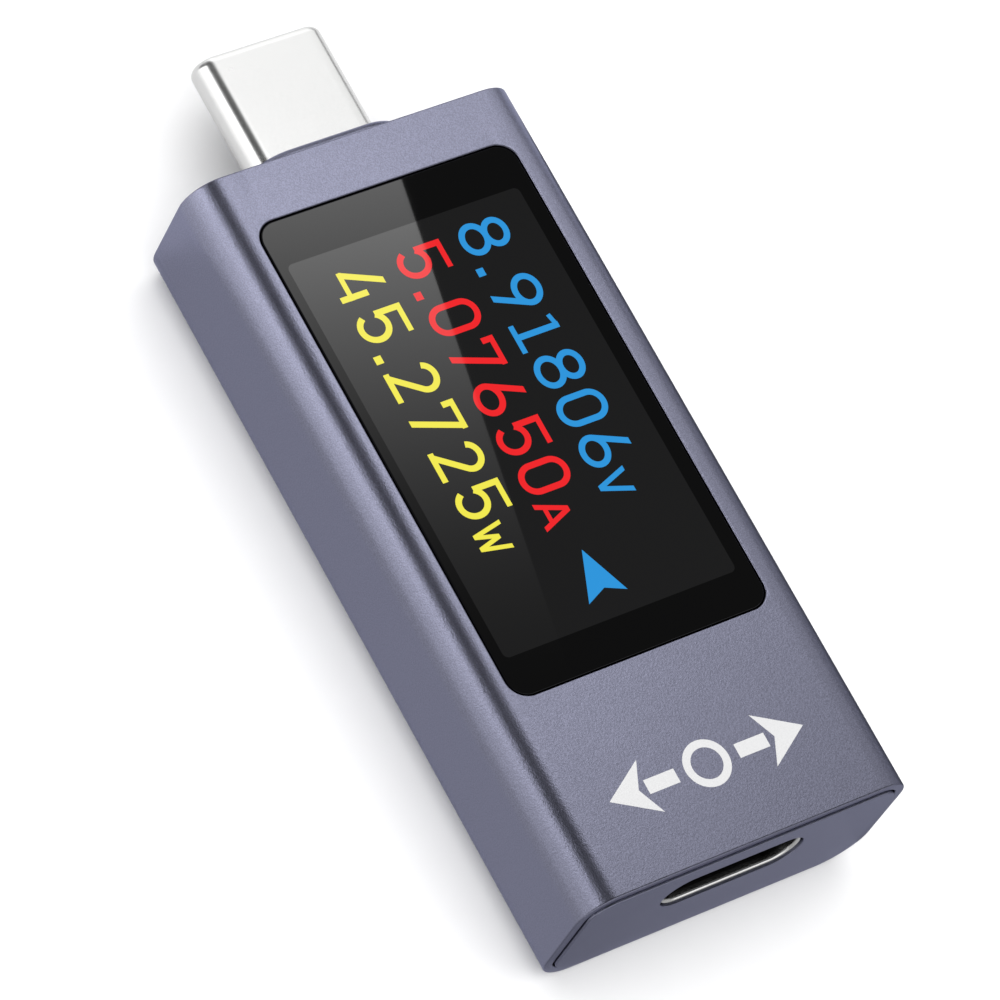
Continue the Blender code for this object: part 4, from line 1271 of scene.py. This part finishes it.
@dataclass
class Studio:
    """A pale floor, soft cards, a faint even surround and the camera."""

    floor_half: float = 4000.0
    floor_lines: int = 41
    floor_height: float = -0.02
    paper: Finish = Finish("pale_floor", (0.93, 0.93, 0.935), 0.0, 0.9, 0.004, grain=2.0, height=0.0)
    zenith: float = 0.11
    horizon: float = 0.85
    height_step: tuple = (0.3, 0.72)
    dim_directions: tuple = ((-0.906, 0.288, 0.311), (0.85, 0.288, 0.45))
    dim_step: tuple = (0.58, 0.84)
    eye: tuple = (-160.716, -98.016, 294.724)
    ahead: tuple = (0.463, 0.288, -0.838)
    upwards: tuple = (0.307, 0.835, 0.457)
    lens: float = 231.3
    sensor: float = 36.0
    clip: tuple = (0.01, 50.0)
    shells: tuple[str, ...] = ("plug_shell_drawn", "receptacle_shell_drawn")

    def cards(self) -> list[Card]:
        """The cards.

        One hangs overhead for the floor. The key, near, side and left cards are what the sleeve
        reflects, and the far, back and end cards what the shells reflect. A wedge lights the glass.
        """
        shell = Audience.CONNECTORS
        return [
            Card("ceiling_card", (0, 0, 900), (1100, 0, 0), (0, 1100, 0), 1.9, 1.9,
                 glossy=False, diffuse=True),
            Card("key_card", (151, 35, 80), (149, 0, 0), (0, 75, 0), 0.22, 2.5, 0.45),
            Card("near_card", (28.5, 3, 79), (19.5, 0, 0), (0, 43, 0), 0.25, 2.9, 0.0),
            Card("far_card", (151, 260, 80), (149, 0, 0), (0, 150, 0), 2.2, 1.2, 0.7, audience=shell),
            Card("back_card", (150, 405, 45), (0, 0, 45), (200, 0, 0), 1.1, 1.1, audience=shell),
            Card("side_card", (310, 150, 45), (0, 0, -45), (0, 250, 0), 0.24, 0.3),
            Card("end_card", (40, -300, 110), (0, 0, -105), (200, 0, 0), 1.1, 1.1, audience=shell),
            Card("left_card", (-200, 60, 142), (0, 0, 142), (0, 130, 0), 0.15, 2.4, 2.1),
            Card("wedge_card", (15.35, 24.4, 60), (11.77, -2.32, 0), (4.59, 23.3, 0), 0.0, 1.87,
                 power=2.5, audience=Audience.GLASS),
        ]

    def shades(self) -> list[Shade]:
        """The dim cards on the floor, beside the sleeve's two sides and before its rear end."""
        return [
            Shade("right_shade", (11.0, -60.0), (120.0, 21.0), 0.14, 0.8),
            Shade("left_shade", (-60.0, -60.0), (-10.7, 19.0), 0.9, 0.9),
            Shade("rear_shade", (-20.0, -45.0), (24.0, -27.3), 0.42, 0.85, 0.2),
        ]

    def build(self, pieces: list[Piece]) -> None:
        """Builds the floor, the lights and the camera.

        Args:
            pieces: The glass and the pieces in it, which have a card of their own.
        """
        scene = bpy.context.scene
        scene.view_settings.view_transform = "Standard"
        listeners = {audience: bpy.data.collections.new(f"lit_{audience.value}") for audience in Audience}
        rest = [piece for piece in [*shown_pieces(), self.floor()] if piece not in pieces]
        shells = [piece for piece in rest if piece.name in self.shells]
        groups = (Audience.GLASS, pieces), (Audience.REST, rest), (Audience.CONNECTORS, shells)
        for audience, members in groups:
            for piece in members:
                listeners[audience].objects.link(piece)
        for card in self.cards():
            card.build(listeners)
        for shade in self.shades():
            shade.build()
        scene.world = self.surround()
        self.camera()

    def surround(self) -> bpy.types.World:
        """The even light all round: bright low down, dim overhead and towards the key and left cards.

        With z the height of a direction's point on the unit sphere and c its cosine from each dim
        direction, the strength is zenith + (horizon - zenith) times a step in z times a step in each c.

        Returns:
            The world.
        """
        world = bpy.data.worlds.new("surround")
        world.use_nodes = True
        tree = world.node_tree
        sight = tree.nodes.new("ShaderNodeTexCoord").outputs["Generated"]
        share = ranged(tree, on_axis(tree, sight, "Z"), self.height_step, (1.0, 0.0), smooth=True)
        for dim in self.dim_directions:
            cosine = tree.nodes.new("ShaderNodeVectorMath")
            cosine.operation = "DOT_PRODUCT"
            cosine.inputs[1].default_value = Vector(dim).normalized()
            tree.links.new(sight, cosine.inputs[0])
            away = ranged(tree, cosine.outputs["Value"], self.dim_step, (1.0, 0.0), smooth=True)
            share = combined(tree, "MULTIPLY", share, away)
        level = ranged(tree, share, (0.0, 1.0), (self.zenith, self.horizon))
        backdrop = tree.nodes["Background"]
        backdrop.inputs["Color"].default_value = (1.0, 1.0, 1.0, 1.0)
        tree.links.new(level, backdrop.inputs["Strength"])
        return world

    def floor(self) -> Piece:
        """A wide sheet just under the meter, flat near it."""
        span = self.floor_half * np.linspace(-1, 1, self.floor_lines)
        floor = in_scene("studio_floor", sheet(span, span, self.floor_height).mesh("studio_floor"))
        floor.data.materials.append(self.paper.make())
        floor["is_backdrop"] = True
        return floor

    def camera(self) -> None:
        """Sets the camera by its place and its two directions."""
        ahead = Vector(self.ahead).normalized()
        up = Vector(self.upwards)
        up = (up - up.dot(ahead) * ahead).normalized()
        data = bpy.data.cameras.new("camera")
        data.sensor_width, data.lens = self.sensor, self.lens
        data.clip_start, data.clip_end = self.clip
        camera = in_scene("camera", data)
        eye = Vector(self.eye) + Vector((0.0, SLEEVE_MIDDLE_Y, 0.0))
        camera.matrix_world = posed(eye, ahead.cross(up), up, -ahead)
        bpy.context.scene.camera = camera


def dress_frame() -> None:
    """Gives every CAD node that is still shown the finish of its slot in the record."""
    for part in frame["record"]["subparts"]:
        node = frame["nodes"][part["node"]]
        node.data.materials.clear()
        node.data.materials.append(MATERIALS[part["material_slot"]])


def main() -> None:
    """Builds the housing, the window, the connectors and the studio, in that order."""
    logging.basicConfig(level=logging.INFO, format="%(name)s: %(message)s")
    dress_frame()
    sleeve = Sleeve()
    sleeve.build()
    Caps(sleeve).build()
    window = Window()
    glassy = window.build() + Picture(window).build()
    FlowMark().build()
    Plug().build()
    Receptacle().build()
    Studio().build(glassy)


if __name__ == "__main__":
    main()
